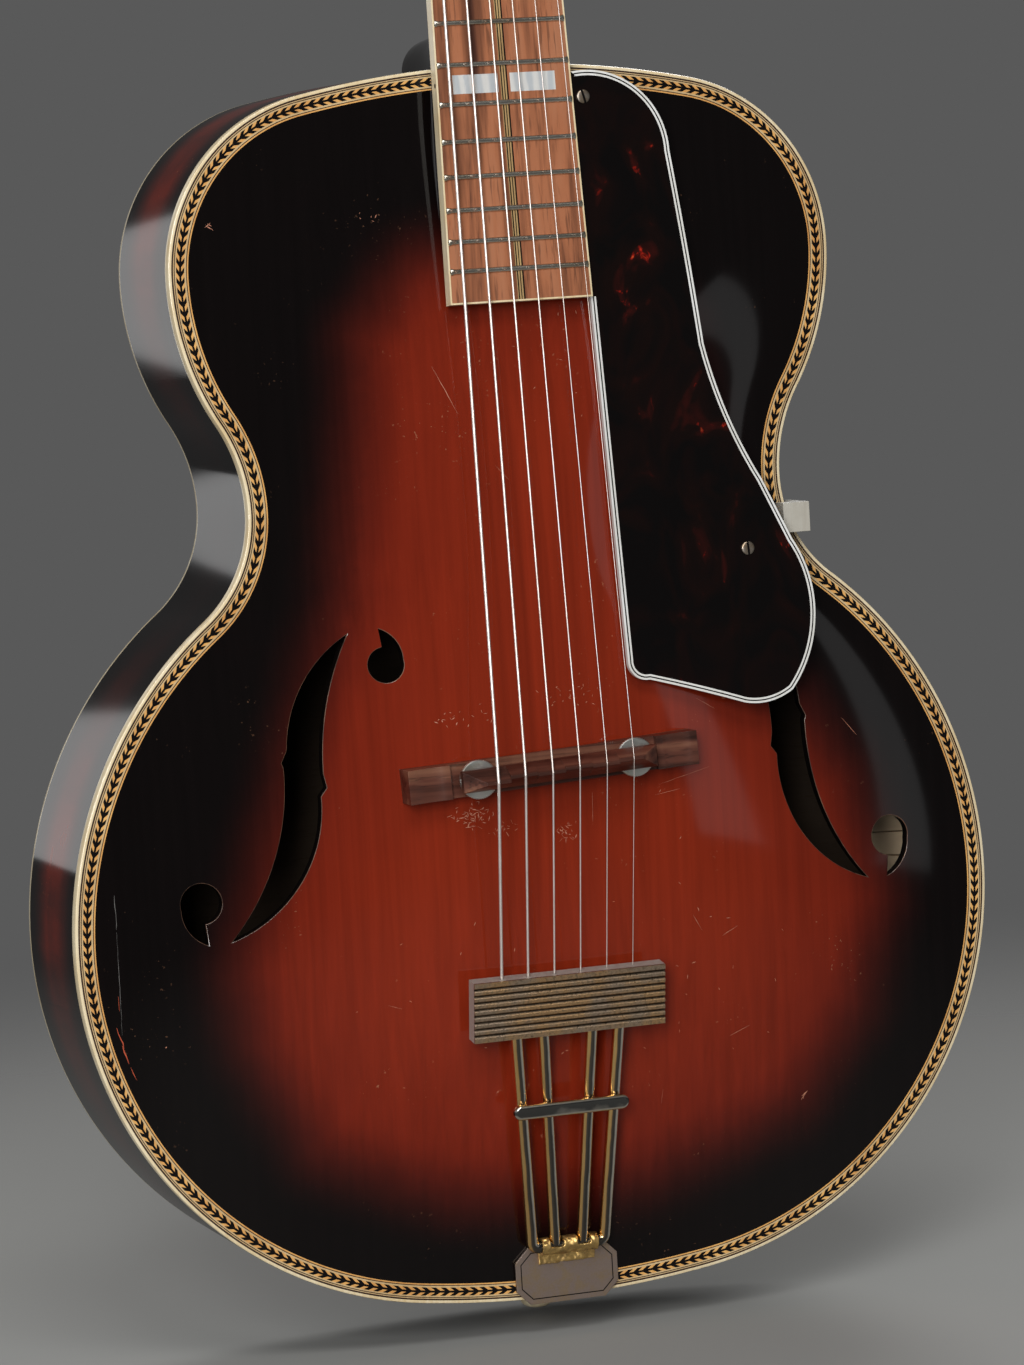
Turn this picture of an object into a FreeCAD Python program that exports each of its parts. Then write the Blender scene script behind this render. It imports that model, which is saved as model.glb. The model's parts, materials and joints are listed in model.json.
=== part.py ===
import FreeCAD, Part
import math
import os

# An archtop guitar. It is laid out on the bench: x runs across, with the treble side positive, y runs
# from the tail to the neck, and z rises out of the top, with zero at the top edge of the rims.
# At the end every piece is stood upright, with the neck along +Z and the top facing -Y.

# Body outline, as tangent arcs
BODY_LENGTH = 510.9
LOWER_HALF_WIDTH = 199.4
LOWER_Y = 161.7
WAIST_HALF_WIDTH = 115.8
WAIST_RISE_SHARE = 0.645
WAIST_LOWER_RADIUS = 55.0
WAIST_UPPER_RADIUS = 69.3
UPPER_HALF_WIDTH = 142.6
SHOULDER_DROP = 80.0
TAIL_RADIUS = 444.0
SHOULDER_RADIUS = 411.0

# Plates, rims and edging
RIM_DEPTH = 80.0
RIM_THICKNESS = 2.5
TOP_EDGE_THICKNESS = 6.0
TOP_THICKNESS = 5.0
TOP_ARCH = 18.0
BACK_EDGE_THICKNESS = 5.5
BACK_THICKNESS = 4.5
BACK_ARCH = 17.0
BINDING_WIDTH = 1.3
TOP_BINDING_HEIGHT = 5.0
BACK_BINDING_HEIGHT = 2.4
PURFLING_WIDTH = 7.0
PURFLING_DEPTH = 1.5
LINING_WIDTH = 7.5
LINING_HEIGHT = 18.0
NECK_BLOCK_WIDTH = 76.0
NECK_BLOCK_DEPTH = 48.0
TAIL_BLOCK_WIDTH = 64.0
TAIL_BLOCK_DEPTH = 26.0
TONE_BAR_WIDTH = 8.0
TONE_BAR_HEIGHT = 13.0
TONE_BAR_TAIL_GAP = 58.5
TONE_BAR_NECK_GAP = 74.4
TONE_BAR_X = 42.0
TONE_BAR_SPLAY = 3.0
ARCH_ROWS = 33
ARCH_COLUMNS = 25

# Three-part sound hole: the blade in shares of its width and length, the eyes in shares of their radius
SOUND_HOLE_LENGTH = 121.5
SOUND_HOLE_WIDTH = 57.0
SOUND_HOLE_X = 78.5
TREBLE_HOLE_OFFSET = 8.9
SOUND_HOLE_Y = 162.2
BLADE_TIP_SHARES = (0.02, 1.0)
BLADE_EDGE_SHARES = (
    ((0.36, 0.85), (0.514, 0.63)),
    ((0.558, 0.588),),
    ((0.546, 0.569),),
    ((0.649, 0.274), (0.995, 0.003)),
    ((0.535, 0.147), (0.298, 0.466)),
    ((0.251, 0.495),),
    ((0.27, 0.542),),
    ((0.219, 0.756), (0.02, 1.0)),
)
UPPER_EYE_RADIUS = 7.2
UPPER_EYE_SHARES = (-0.233, 0.886)
LOWER_EYE_RADIUS = 8.3
LOWER_EYE_SHARES = (1.196, 0.144)
EYE_TIP_SHARES = (0.45, 1.95)
EYE_EDGE_SHARES = (
    ((-0.72, 1.14), (-1.0, 0.0)),
    ((0.0, -1.0), (1.0, 0.1)),
    ((0.15, 0.95), (0.45, 1.95)),
)

# Neck and fingerboard
JOINT_FRET = 14
FRET_COUNT = 20
BOARD_HEIGHT = 12.3
BOARD_THICKNESS = 6.0
BOARD_END_MARGIN = 13.3
BOARD_HALF_WIDTH_AT_NUT = 22.3
BOARD_HALF_WIDTH_AT_END = 30.6
BOARD_BINDING = 0.7
STRIPE_WIDTH = 3.2
INLAY_DEPTH = 1.0
INLAY_FRETS = (3, 5, 7, 9, 12, 15)
INLAY_SPACE_SHARE = 0.48
INLAY_INNER_SHARE = 0.09
INLAY_OUTER_SHARE = 0.76
FRET_WIDTH = 2.3
FRET_CROWN = 1.1
FRET_INSET = 0.7
NUT_LENGTH = 5.0
NUT_RISE = 2.2
NUT_SLOT_DEPTH = 0.9
SHAFT_DEPTH_AT_NUT = 15.5
SHAFT_DEPTH_AT_HEEL = 19.0
HEEL_HALF_WIDTH = 20.0
HEEL_REACH = 40.0
HEEL_SECTION_SHARES = ((0.02, 1.0, 1.0), (0.26, 0.86, 0.6), (0.58, 0.74, 0.42), (1.0, 0.66, 0.37))
EXTENSION_INSET = 2.0

# Headstock and tuners, in the frame of the headstock's face
HEAD_ANGLE = 14.0
HEAD_LENGTH = 160.0
HEAD_CROWN = 11.0
HEAD_THICKNESS = 14.0
HEAD_HALF_WIDTH_LOW = 34.0
HEAD_HALF_WIDTH_HIGH = 39.0
HEAD_FLARE_LENGTH = 24.0
HEAD_FLARE_SHARES = (0.3, 0.66)
VENEER_THICKNESS = 1.5
POST_RADIUS = 3.0
POST_X = 21.0
POST_FIRST_Y = 40.0
POST_PITCH = 40.0
POST_RISE = 12.0
POST_FIT = 0.06
BUSHING_RADIUS = 4.3
BUSHING_FLANGE_RADIUS = 5.6
BUSHING_FLANGE = 1.2
STRING_RISE_ON_POST = 6.0
TUNER_PLATE_THICKNESS = 1.2
TUNER_PLATE_INNER = 9.0
TUNER_PLATE_OUTER = 10.0
TUNER_PLATE_END = 14.0
GEAR_TEETH = 14
GEAR_RADIUS = 6.2
GEAR_TOOTH_HEIGHT = 1.3
GEAR_FLANK_SHARES = (0.0, 0.3, 0.5, 0.8)
GEAR_THICKNESS = 3.4
GEAR_LIFT = 0.6
WORM_RADIUS = 2.4
WORM_SHAFT_RADIUS = 1.5
WORM_LENGTH = 8.0
WORM_GAP = 0.35
SHAFT_FIT = 0.3
EAR_THICKNESS = 2.0
EAR_HALF_WIDTH = 3.2
BUTTON_STANDOFF = 9.0
BUTTON_LENGTH = 16.0
BUTTON_HALF_WIDTH = 8.5
BUTTON_THICKNESS = 6.5
BUTTON_SOCKET = 5.0
TUNER_SCREW_RADIUS = 1.2
TUNER_SCREW_HEAD_RADIUS = 2.2
TUNER_SCREW_HEAD = 1.1
TUNER_SCREW_LENGTH = 8.0
TUNER_SCREW_MARGIN = 0.4

# Bridge, in a frame that stands on the top and is turned by the slant
BRIDGE_Y = 223.5
BRIDGE_SETBACK = 1.71
SADDLE_OVER_BOARD = 6.3
BRIDGE_SLANT = 2.7
BRIDGE_LENGTH = 125.5
BRIDGE_DEPTH = 14.0
END_BLOCK_LENGTH = 18.0
END_BLOCK_TOP = 25.5
END_BLOCK_DISH = 1.0
END_BLOCK_LIP = 2.2
BASE_TOP = 22.5
BASE_RELIEF_LENGTH = 44.0
BASE_RELIEF = 1.5
STUD_SPACING = 68.0
STUD_RADIUS = 1.6
STUD_SINK = 3.0
STUD_TOP = 33.5
WHEEL_RADIUS = 8.1
WHEEL_THICKNESS = 2.2
WHEEL_GAP = 4.5
SLIDE_FIT = 0.08
SADDLE_LENGTH = 84.0
SADDLE_DEPTH = 9.0
SADDLE_TOP = 39.2
SADDLE_FOOT = 3.0
SADDLE_RIDGE = 1.2
SADDLE_END_DROP = 6.5
SADDLE_END_SLOPE = 8.0
SADDLE_BORE_ROOM = 2.0
COMPENSATION_SHARES = (-0.15, 0.03, -0.03, 0.06, 0.0, 0.08)

# Strings, from the lowest to the highest
STRING_RADII = (0.66, 0.533, 0.406, 0.305, 0.203, 0.152)
STRING_CLEARANCE = 0.2
NUT_SPREAD = 38.0
SADDLE_SPREAD = 59.0
TAIL_SPREAD = 57.0
WOUND_COUNT = 4
BALL_RADIUS = 1.9
BALL_LENGTH = 3.6

# Tailpiece, in a frame on the hinge axis that is tilted up towards the bridge
HINGE_Y = 23.0
TAIL_TILT = 9.6
BAR_REACH = 92.5
BAR_LENGTH = 25.4
BAR_WIDTH = 83.0
BAR_WALL = 1.3
BAR_GROOVES = 8
BAR_GROOVE_SHARE = 0.62
BAR_GROOVE_DEPTH = 0.7
ROD_RADIUS = 2.2
ROD_BEND = 3.0
OUTER_ROD_X_AT_BAR = 22.3
OUTER_ROD_X_AT_HINGE = 15.8
INNER_ROD_X_AT_BAR = 10.5
INNER_ROD_X_AT_HINGE = 5.9
ROD_TUCK = 15.0
CROSSBAR_REACH = 61.0
CROSSBAR_LENGTH = 50.0
CROSSBAR_WIDTH = 6.0
CROSSBAR_THICKNESS = 3.6
CROSSBAR_EDGE = 1.4
SLEEVE_HALF_LENGTH = 12.4
SLEEVE_WALL = 1.6
SLEEVE_TAB_LENGTH = 8.0
SLEEVE_TAB_THICKNESS = 1.0
SLEEVE_SLOT_ROOM = 0.6
HINGE_FIT = 0.08
HANGER_HALF_WIDTH = 22.4
HANGER_LENGTH = 24.0
HANGER_THICKNESS = 1.5
HANGER_CORNER = 6.0
HANGER_LIFT = 0.7
HANGER_GAP = 0.1
STRAP_WIDTH = 24.0
STRAP_LENGTH = 66.0
STRAP_CORNER = 5.0
HANGER_SCREW_HEAD_RADIUS = 3.2
HANGER_SCREW_HEAD = 1.6
HANGER_SCREW_RADIUS = 1.7
HANGER_SCREW_LENGTH = 16.0
HANGER_SCREW_LEVEL_SHARES = (0.24, 0.8)
END_PIN_HEAD_RADIUS = 7.0
END_PIN_WAIST_RADIUS = 4.6
END_PIN_HEAD = 7.0
END_PIN_COLLAR = 3.0
END_PIN_COLLAR_RADIUS = 6.6
END_PIN_STEM_RADIUS = 4.2
END_PIN_STEM = 22.0

# Pickguard, in a frame on its top face that rises towards the bridge
GUARD_WIDTH = 90.0
GUARD_NECK_GAP = 4.9
GUARD_BRIDGE_GAP = 18.5
GUARD_GAP = 0.7
GUARD_THICKNESS = 2.4
GUARD_EDGE = 2.2
GUARD_HEIGHT_AT_NECK = 11.0
GUARD_HEIGHT_AT_TAIL = 21.5
GUARD_SIDE_SHARES = (
    ((0.272, 0.981), (0.45, 0.871)),
    ((0.509, 0.705), (0.55, 0.568)),
    ((0.652, 0.448), (0.788, 0.35)),
    ((0.917, 0.253),),
    ((1.005, 0.125), (0.869, 0.016)),
    ((0.761, 0.001), (0.628, 0.002)),
    ((0.37, 0.031), (0.172, 0.051)),
    ((0.1, 0.059), (0.072, 0.083)),
)
GUARD_SCREW_HEAD_RADIUS = 3.0
GUARD_SCREW_HEAD = 0.9
GUARD_SCREW_RADIUS = 1.4
NECK_SCREW_SHARES = (0.05, 0.961)
SPACER_RADIUS = 4.2
RIM_SCREW_SHARES = (0.694, 0.244)
LUG_RADIUS = 5.0
LUG_THICKNESS = 3.0
BRACKET_RADIUS = 1.8
CLAMP_BELOW_WAIST = 18.3
CLAMP_LENGTH = 12.5
CLAMP_REACH = 9.0
CLAMP_HEIGHT = 9.0
CLAMP_LIP = 2.4
CLAMP_SEAT = 0.8
CLAMP_DROP = 12.0

# Fits shared by all pieces
GLUE_LINE = 0.1
SIDE_GAP = 0.3
OVERRUN = 2.0
DEEP = 60.0

# Places worked out from the driving dimensions
V = FreeCAD.Vector
ORIGIN = V(0, 0, 0)
ACROSS = V(1, 0, 0)
ALONG = V(0, 1, 0)
UP = V(0, 0, 1)
ARCH_MARGIN = BINDING_WIDTH + PURFLING_WIDTH
CAVITY_INSET = RIM_THICKNESS + LINING_WIDTH
UPPER_Y = BODY_LENGTH - SHOULDER_DROP
WAIST_Y = LOWER_Y + WAIST_RISE_SHARE * (UPPER_Y - LOWER_Y)
# The scale runs from the nut to just short of the bridge, with the body joint at its fret.
SCALE_LENGTH = (BODY_LENGTH - BRIDGE_Y - BRIDGE_SETBACK) * 2 ** (JOINT_FRET / 12)
JOINT_TO_NUT = SCALE_LENGTH * (1 - 2 ** (-JOINT_FRET / 12))
BOARD_OVERHANG = SCALE_LENGTH * (2 ** (-JOINT_FRET / 12) - 2 ** (-FRET_COUNT / 12)) + BOARD_END_MARGIN
NECK_RISE = SADDLE_TOP - SADDLE_OVER_BOARD - BOARD_HEIGHT
NECK_ANGLE = math.degrees(math.atan2(NECK_RISE, BODY_LENGTH - BRIDGE_Y))
BOARD_LENGTH = BOARD_OVERHANG + JOINT_TO_NUT
POST_COUNT = len(STRING_RADII)
GUARD_Y = BRIDGE_Y + GUARD_BRIDGE_GAP
GUARD_LENGTH = BODY_LENGTH - GUARD_NECK_GAP - GUARD_Y
CLAMP_Y = WAIST_Y - CLAMP_BELOW_WAIST


def point(x, y, z=0):
    return V(x, y, z)


def polar(centre, radius, angle):
    return V(centre[0] + radius * math.cos(angle), centre[1] + radius * math.sin(angle), 0)


def box(x0, x1, y0, y1, z0, z1):
    return Part.makeBox(x1 - x0, y1 - y0, z1 - z0, V(x0, y0, z0))


def rod(start, end, radius):
    return Part.makeCylinder(radius, (end - start).Length, start, end - start)


def closed_face(start, steps):
    # A step of one point is a line to it. A step of two is an arc through the first to the second.
    edges = []
    here = point(*start)
    for step in steps:
        there = point(*step[-1])
        if len(step) == 1:
            edges.append(Part.LineSegment(here, there).toShape())
        else:
            edges.append(Part.Arc(here, point(*step[0]), there).toShape())
        here = there
    return Part.Face(Part.Wire(edges))


def prism(face, z0, z1):
    solid = face.extrude(V(0, 0, z1 - z0))
    solid.translate(V(0, 0, z0))
    return solid


def polygon_prism(corners, direction):
    return Part.Face(Part.makePolygon(corners + corners[:1])).extrude(direction)


def mirrored(shape):
    return shape.mirror(ORIGIN, ACROSS)


def fused(shapes):
    return shapes[0].multiFuse(shapes[1:]).removeSplitter()


def body_arcs():
    # Half outline from the tail to the neck: centre, radius, first and last angle, and the side it bends to.
    corner = (2 * TAIL_RADIUS * LOWER_Y - LOWER_Y ** 2 - LOWER_HALF_WIDTH ** 2) / (
        2 * (TAIL_RADIUS - LOWER_HALF_WIDTH))
    shoulder = (2 * SHOULDER_RADIUS * SHOULDER_DROP - SHOULDER_DROP ** 2 - UPPER_HALF_WIDTH ** 2) / (
        2 * (SHOULDER_RADIUS - UPPER_HALF_WIDTH))
    low_waist = (WAIST_HALF_WIDTH + WAIST_LOWER_RADIUS, WAIST_Y)
    high_waist = (WAIST_HALF_WIDTH + WAIST_UPPER_RADIUS, WAIST_Y)
    lower = tangent_radius(low_waist[0] - LOWER_HALF_WIDTH, WAIST_Y - LOWER_Y, WAIST_LOWER_RADIUS)
    upper = tangent_radius(high_waist[0] - UPPER_HALF_WIDTH, UPPER_Y - WAIST_Y, WAIST_UPPER_RADIUS)
    tail_centre = (0, TAIL_RADIUS)
    corner_centre = (LOWER_HALF_WIDTH - corner, LOWER_Y)
    lower_centre = (LOWER_HALF_WIDTH - lower, LOWER_Y)
    upper_centre = (UPPER_HALF_WIDTH - upper, UPPER_Y)
    shoulder_centre = (UPPER_HALF_WIDTH - shoulder, UPPER_Y)
    neck_centre = (0, BODY_LENGTH - SHOULDER_RADIUS)
    at_tail = bearing(tail_centre, corner_centre)
    at_low_waist = bearing(lower_centre, low_waist)
    at_high_waist = bearing(upper_centre, high_waist)
    at_neck = bearing(neck_centre, shoulder_centre)
    return (
        (tail_centre, TAIL_RADIUS, -math.pi / 2, at_tail, 1),
        (corner_centre, corner, at_tail, 0, 1),
        (lower_centre, lower, 0, at_low_waist, 1),
        (low_waist, WAIST_LOWER_RADIUS, at_low_waist + math.pi, math.pi, -1),
        (high_waist, WAIST_UPPER_RADIUS, math.pi, at_high_waist + math.pi, -1),
        (upper_centre, upper, at_high_waist, 0, 1),
        (shoulder_centre, shoulder, 0, at_neck, 1),
        (neck_centre, SHOULDER_RADIUS, at_neck, math.pi / 2, 1),
    )


def tangent_radius(offset, rise, waist):
    return (offset ** 2 + rise ** 2 - waist ** 2) / (2 * (waist - offset))


def bearing(start, end):
    return math.atan2(end[1] - start[1], end[0] - start[0])


ARCS = body_arcs()


def body_face(inset):
    half = []
    for centre, radius, first, last, bend in ARCS:
        reach = radius - bend * inset
        turns = (first, (first + last) / 2, last)
        half.append([polar(centre, reach, turn) for turn in turns])
    flip = [[V(-spot.x, spot.y, 0) for spot in reversed(arc)] for arc in reversed(half)]
    # The tail arc and the shoulder arc cross the middle, so each joins its own mirror image.
    tail = [flip[-1][0], half[0][0], half[0][2]]
    neck = [half[-1][0], half[-1][2], flip[0][2]]
    loop = [tail] + half[1:-1] + [neck] + flip[1:-1]
    return Part.Face(Part.Wire([Part.Arc(*arc).toShape() for arc in loop]))


def half_width(y, inset):
    for centre, radius, first, last, bend in ARCS:
        reach = radius - bend * inset
        low = centre[1] + reach * math.sin(first)
        high = centre[1] + reach * math.sin(last)
        if low <= y <= high:
            return centre[0] + bend * math.sqrt(reach ** 2 - (y - centre[1]) ** 2)
    return 0


def body_prism(inset, z0, z1):
    return prism(body_face(inset), z0, z1)


def body_ring(outer, inner, z0, z1):
    return body_prism(outer, z0, z1).cut(body_prism(inner, z0, z1))


def arch_height(x, y, rise):
    # Both ways the arch leaves the margin level, swells and is level again at the crown.
    middle = BODY_LENGTH / 2
    length_share = abs(y - middle) / (middle - ARCH_MARGIN)
    width = half_width(y, ARCH_MARGIN)
    if length_share >= 1 or abs(x) >= width:
        return 0
    width_share = abs(x) / width
    return rise * (1 - length_share ** 3) ** 2 * (1 - width_share ** 2) ** 2


def under_arch(rise, lift):
    rows = []
    for row in range(ARCH_ROWS):
        y = BODY_LENGTH * row / (ARCH_ROWS - 1)
        line = []
        for column in range(ARCH_COLUMNS):
            x = LOWER_HALF_WIDTH * (2 * column / (ARCH_COLUMNS - 1) - 1)
            line.append(V(x, y, arch_height(x, y, rise) + lift))
        rows.append(line)
    surface = Part.BSplineSurface()
    surface.interpolate(rows)
    return surface.toShape().extrude(V(0, 0, -DEEP))


def arched_plate(rise, thickness, edge):
    blank = body_prism(0, -edge, rise + OVERRUN).common(under_arch(rise, 0))
    hollow = body_prism(CAVITY_INSET, -edge - OVERRUN, rise).common(under_arch(rise, -thickness))
    return blank.cut(hollow)


def blade_face():
    def place(shares):
        return (SOUND_HOLE_X + SOUND_HOLE_WIDTH * shares[0], SOUND_HOLE_Y + SOUND_HOLE_LENGTH * shares[1])

    steps = [[place(spot) for spot in step] for step in BLADE_EDGE_SHARES]
    return closed_face(place(BLADE_TIP_SHARES), steps)


def eye_face(centre_shares, radius, turn):
    x = SOUND_HOLE_X + SOUND_HOLE_WIDTH * centre_shares[0]
    y = SOUND_HOLE_Y + SOUND_HOLE_LENGTH * centre_shares[1]

    def place(shares):
        return (x + turn * radius * shares[0], y + turn * radius * shares[1])

    steps = [[place(spot) for spot in step] for step in EYE_EDGE_SHARES]
    return closed_face(place(EYE_TIP_SHARES), steps)


def sound_holes():
    faces = (
        blade_face(),
        eye_face(UPPER_EYE_SHARES, UPPER_EYE_RADIUS, 1),
        eye_face(LOWER_EYE_SHARES, LOWER_EYE_RADIUS, -1),
    )
    # The treble hole is cut a little further out than the bass one.
    holes = [prism(face, -DEEP, DEEP) for face in faces]
    return [hole.translated(V(TREBLE_HOLE_OFFSET, 0, 0)) for hole in holes] + [mirrored(hole) for hole in holes]


def body_nodes():
    top = arched_plate(TOP_ARCH, TOP_THICKNESS, TOP_EDGE_THICKNESS)
    top_rabbet = body_ring(0, BINDING_WIDTH, -TOP_BINDING_HEIGHT, TOP_ARCH)
    channel = body_ring(BINDING_WIDTH, ARCH_MARGIN, -PURFLING_DEPTH, TOP_ARCH)
    top = top.cut(top_rabbet).cut(channel).cut(Part.makeCompound(sound_holes()))
    back = arched_plate(BACK_ARCH, BACK_THICKNESS, BACK_EDGE_THICKNESS)
    back = back.cut(body_ring(0, BINDING_WIDTH, -BACK_BINDING_HEIGHT, BACK_ARCH))
    back_binding = body_ring(0, BINDING_WIDTH, -BACK_BINDING_HEIGHT, 0)
    for shape in (back, back_binding):
        turn_to_back(shape)
    top_of_rims = -TOP_EDGE_THICKNESS
    foot_of_rims = BACK_EDGE_THICKNESS - RIM_DEPTH
    ring = body_ring(0, RIM_THICKNESS, foot_of_rims, top_of_rims)
    treble_side = box(0, BODY_LENGTH, -OVERRUN, BODY_LENGTH + OVERRUN, -RIM_DEPTH, 0)
    treble_rim = ring.common(treble_side)
    rims = [treble_rim, mirrored(treble_rim)]
    inside = body_prism(RIM_THICKNESS, foot_of_rims, top_of_rims)
    neck_block = inside.common(
        box(-NECK_BLOCK_WIDTH / 2, NECK_BLOCK_WIDTH / 2, BODY_LENGTH - NECK_BLOCK_DEPTH, BODY_LENGTH,
            -RIM_DEPTH, 0))
    tail_block = inside.common(
        box(-TAIL_BLOCK_WIDTH / 2, TAIL_BLOCK_WIDTH / 2, 0, TAIL_BLOCK_DEPTH, -RIM_DEPTH, 0))
    linings = []
    for foot in (foot_of_rims, top_of_rims - LINING_HEIGHT):
        lining = body_ring(RIM_THICKNESS, CAVITY_INSET, foot, foot + LINING_HEIGHT)
        linings += lining.cut(Part.makeCompound([neck_block, tail_block])).Solids
    return {
        "top_plate": top,
        "back_plate": back,
        "side_rims": Part.makeCompound(rims),
        "top_binding": body_ring(0, BINDING_WIDTH, -TOP_BINDING_HEIGHT, 0),
        "top_purfling": body_ring(BINDING_WIDTH, ARCH_MARGIN, -PURFLING_DEPTH, 0),
        "back_binding": back_binding,
        "kerfed_linings": Part.makeCompound(linings),
        "neck_block": neck_block,
        "tail_block": tail_block,
        "tone_bars": tone_bars(),
    }


def turn_to_back(shape):
    # A plate made face up becomes the back: turned over about the lengthwise axis, then lowered.
    shape.rotate(ORIGIN, ALONG, 180)
    shape.translate(V(0, 0, -RIM_DEPTH))


def tone_bars():
    start = TONE_BAR_TAIL_GAP
    stop = BODY_LENGTH - NECK_BLOCK_DEPTH - TONE_BAR_NECK_GAP
    inner = TOP_ARCH - TOP_THICKNESS
    blank = box(TONE_BAR_X - TONE_BAR_WIDTH / 2, TONE_BAR_X + TONE_BAR_WIDTH / 2, start, stop,
                -TONE_BAR_HEIGHT, inner)
    blank.rotate(V(TONE_BAR_X, (start + stop) / 2, 0), UP, TONE_BAR_SPLAY)
    ceiling = under_arch(TOP_ARCH, -TOP_THICKNESS - GLUE_LINE)
    floor = under_arch(TOP_ARCH, -TOP_THICKNESS - TONE_BAR_HEIGHT)
    bar = blank.common(ceiling).cut(floor)
    return Part.makeCompound([bar, mirrored(bar)])


def on_neck(shape):
    # The neck frame has its origin on the board over the body joint, with y towards the nut.
    shape.rotate(ORIGIN, ACROSS, -NECK_ANGLE)
    shape.translate(V(0, BODY_LENGTH, BOARD_HEIGHT))
    return shape


def on_head(shape):
    # The headstock frame has its origin at the foot of the headstock's face, with y towards its crown.
    shape.rotate(ORIGIN, ACROSS, -HEAD_ANGLE)
    shape.translate(V(0, JOINT_TO_NUT + NUT_LENGTH, -BOARD_THICKNESS))
    return on_neck(shape)


def neck_spot(x, y, z):
    return on_neck(Part.Vertex(x, y, z)).Point


def head_spot(x, y, z):
    return on_head(Part.Vertex(x, y, z)).Point


def board_half_width(y):
    share = (JOINT_TO_NUT - y) / BOARD_LENGTH
    return BOARD_HALF_WIDTH_AT_NUT + share * (BOARD_HALF_WIDTH_AT_END - BOARD_HALF_WIDTH_AT_NUT)


def fret_y(number):
    return JOINT_TO_NUT - SCALE_LENGTH * (1 - 2 ** (-number / 12))


def board_blank(inset, foot, head, z0, z1):
    low = board_half_width(foot) - inset
    high = board_half_width(head) - inset
    corners = [V(-low, foot, z0), V(low, foot, z0), V(high, head, z0), V(-high, head, z0)]
    return polygon_prism(corners, V(0, 0, z1 - z0))


def board_nodes():
    foot = -BOARD_OVERHANG
    head = JOINT_TO_NUT
    whole = board_blank(0, foot, head, -BOARD_THICKNESS, 0)
    board = board_blank(BOARD_BINDING, foot + BOARD_BINDING, head, -BOARD_THICKNESS, 0)
    core = board_blank(BOARD_BINDING, foot + BOARD_BINDING, head + OVERRUN, -BOARD_THICKNESS, 0)
    stripe = box(-STRIPE_WIDTH / 2, STRIPE_WIDTH / 2, foot + BOARD_BINDING, head, -INLAY_DEPTH, 0)
    inlays = []
    for number in INLAY_FRETS:
        middle = (fret_y(number) + fret_y(number - 1)) / 2
        half = INLAY_SPACE_SHARE * (fret_y(number - 1) - fret_y(number)) / 2
        edge = board_half_width(middle)
        block = box(INLAY_INNER_SHARE * edge, INLAY_OUTER_SHARE * edge, middle - half, middle + half,
                    -INLAY_DEPTH, 0)
        inlays += [block, mirrored(block)]
    frets = []
    for number in range(1, FRET_COUNT + 1):
        y = fret_y(number)
        reach = board_half_width(y) - FRET_INSET
        crown = Part.Arc(V(-reach, y - FRET_WIDTH / 2, 0), V(-reach, y, FRET_CROWN),
                         V(-reach, y + FRET_WIDTH / 2, 0)).toShape()
        seat = Part.makeLine(crown.Vertexes[1].Point, crown.Vertexes[0].Point)
        frets.append(Part.Face(Part.Wire([crown, seat])).extrude(V(2 * reach, 0, 0)))
    nut = box(-BOARD_HALF_WIDTH_AT_NUT, BOARD_HALF_WIDTH_AT_NUT, head, head + NUT_LENGTH,
              -BOARD_THICKNESS, NUT_RISE)
    nodes = {
        "fingerboard": board.cut(Part.makeCompound(inlays + [stripe])),
        "fingerboard_binding": whole.cut(core),
        "fingerboard_stripe": stripe,
        "position_inlays": Part.makeCompound(inlays),
        "frets": Part.makeCompound(frets),
        "nut": nut,
    }
    for shape in nodes.values():
        on_neck(shape)
    return nodes


def shaft_section(y, half, depth):
    level = -BOARD_THICKNESS
    back = Part.Arc(V(half, y, level), V(0, y, level - depth), V(-half, y, level)).toShape()
    return Part.Wire([back, Part.makeLine(V(-half, y, level), V(half, y, level))])


def heel():
    sections = []
    seat = BODY_LENGTH - RIM_THICKNESS
    for level_share, width_share, reach_share in HEEL_SECTION_SHARES:
        level = -RIM_DEPTH * level_share
        half = HEEL_HALF_WIDTH * width_share
        reach = BODY_LENGTH + HEEL_REACH * reach_share
        front = Part.Arc(V(half, seat, level), V(0, reach, level), V(-half, seat, level)).toShape()
        sections.append(Part.Wire([front, Part.makeLine(V(-half, seat, level), V(half, seat, level))]))
    return Part.makeLoft(sections, True)


def head_face():
    neck_edge = BOARD_HALF_WIDTH_AT_NUT
    flare = HEAD_HALF_WIDTH_LOW - neck_edge
    low = (HEAD_HALF_WIDTH_LOW, HEAD_FLARE_LENGTH)
    bend = (neck_edge + HEAD_FLARE_SHARES[0] * flare, HEAD_FLARE_SHARES[1] * HEAD_FLARE_LENGTH)
    high = (HEAD_HALF_WIDTH_HIGH, HEAD_LENGTH)
    steps = [
        [bend, low],
        [high],
        [(0, HEAD_LENGTH + HEAD_CROWN), (-high[0], high[1])],
        [(-low[0], low[1])],
        [(-bend[0], bend[1]), (-neck_edge, 0)],
        [(neck_edge, 0)],
    ]
    return closed_face((neck_edge, 0), steps)


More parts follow.
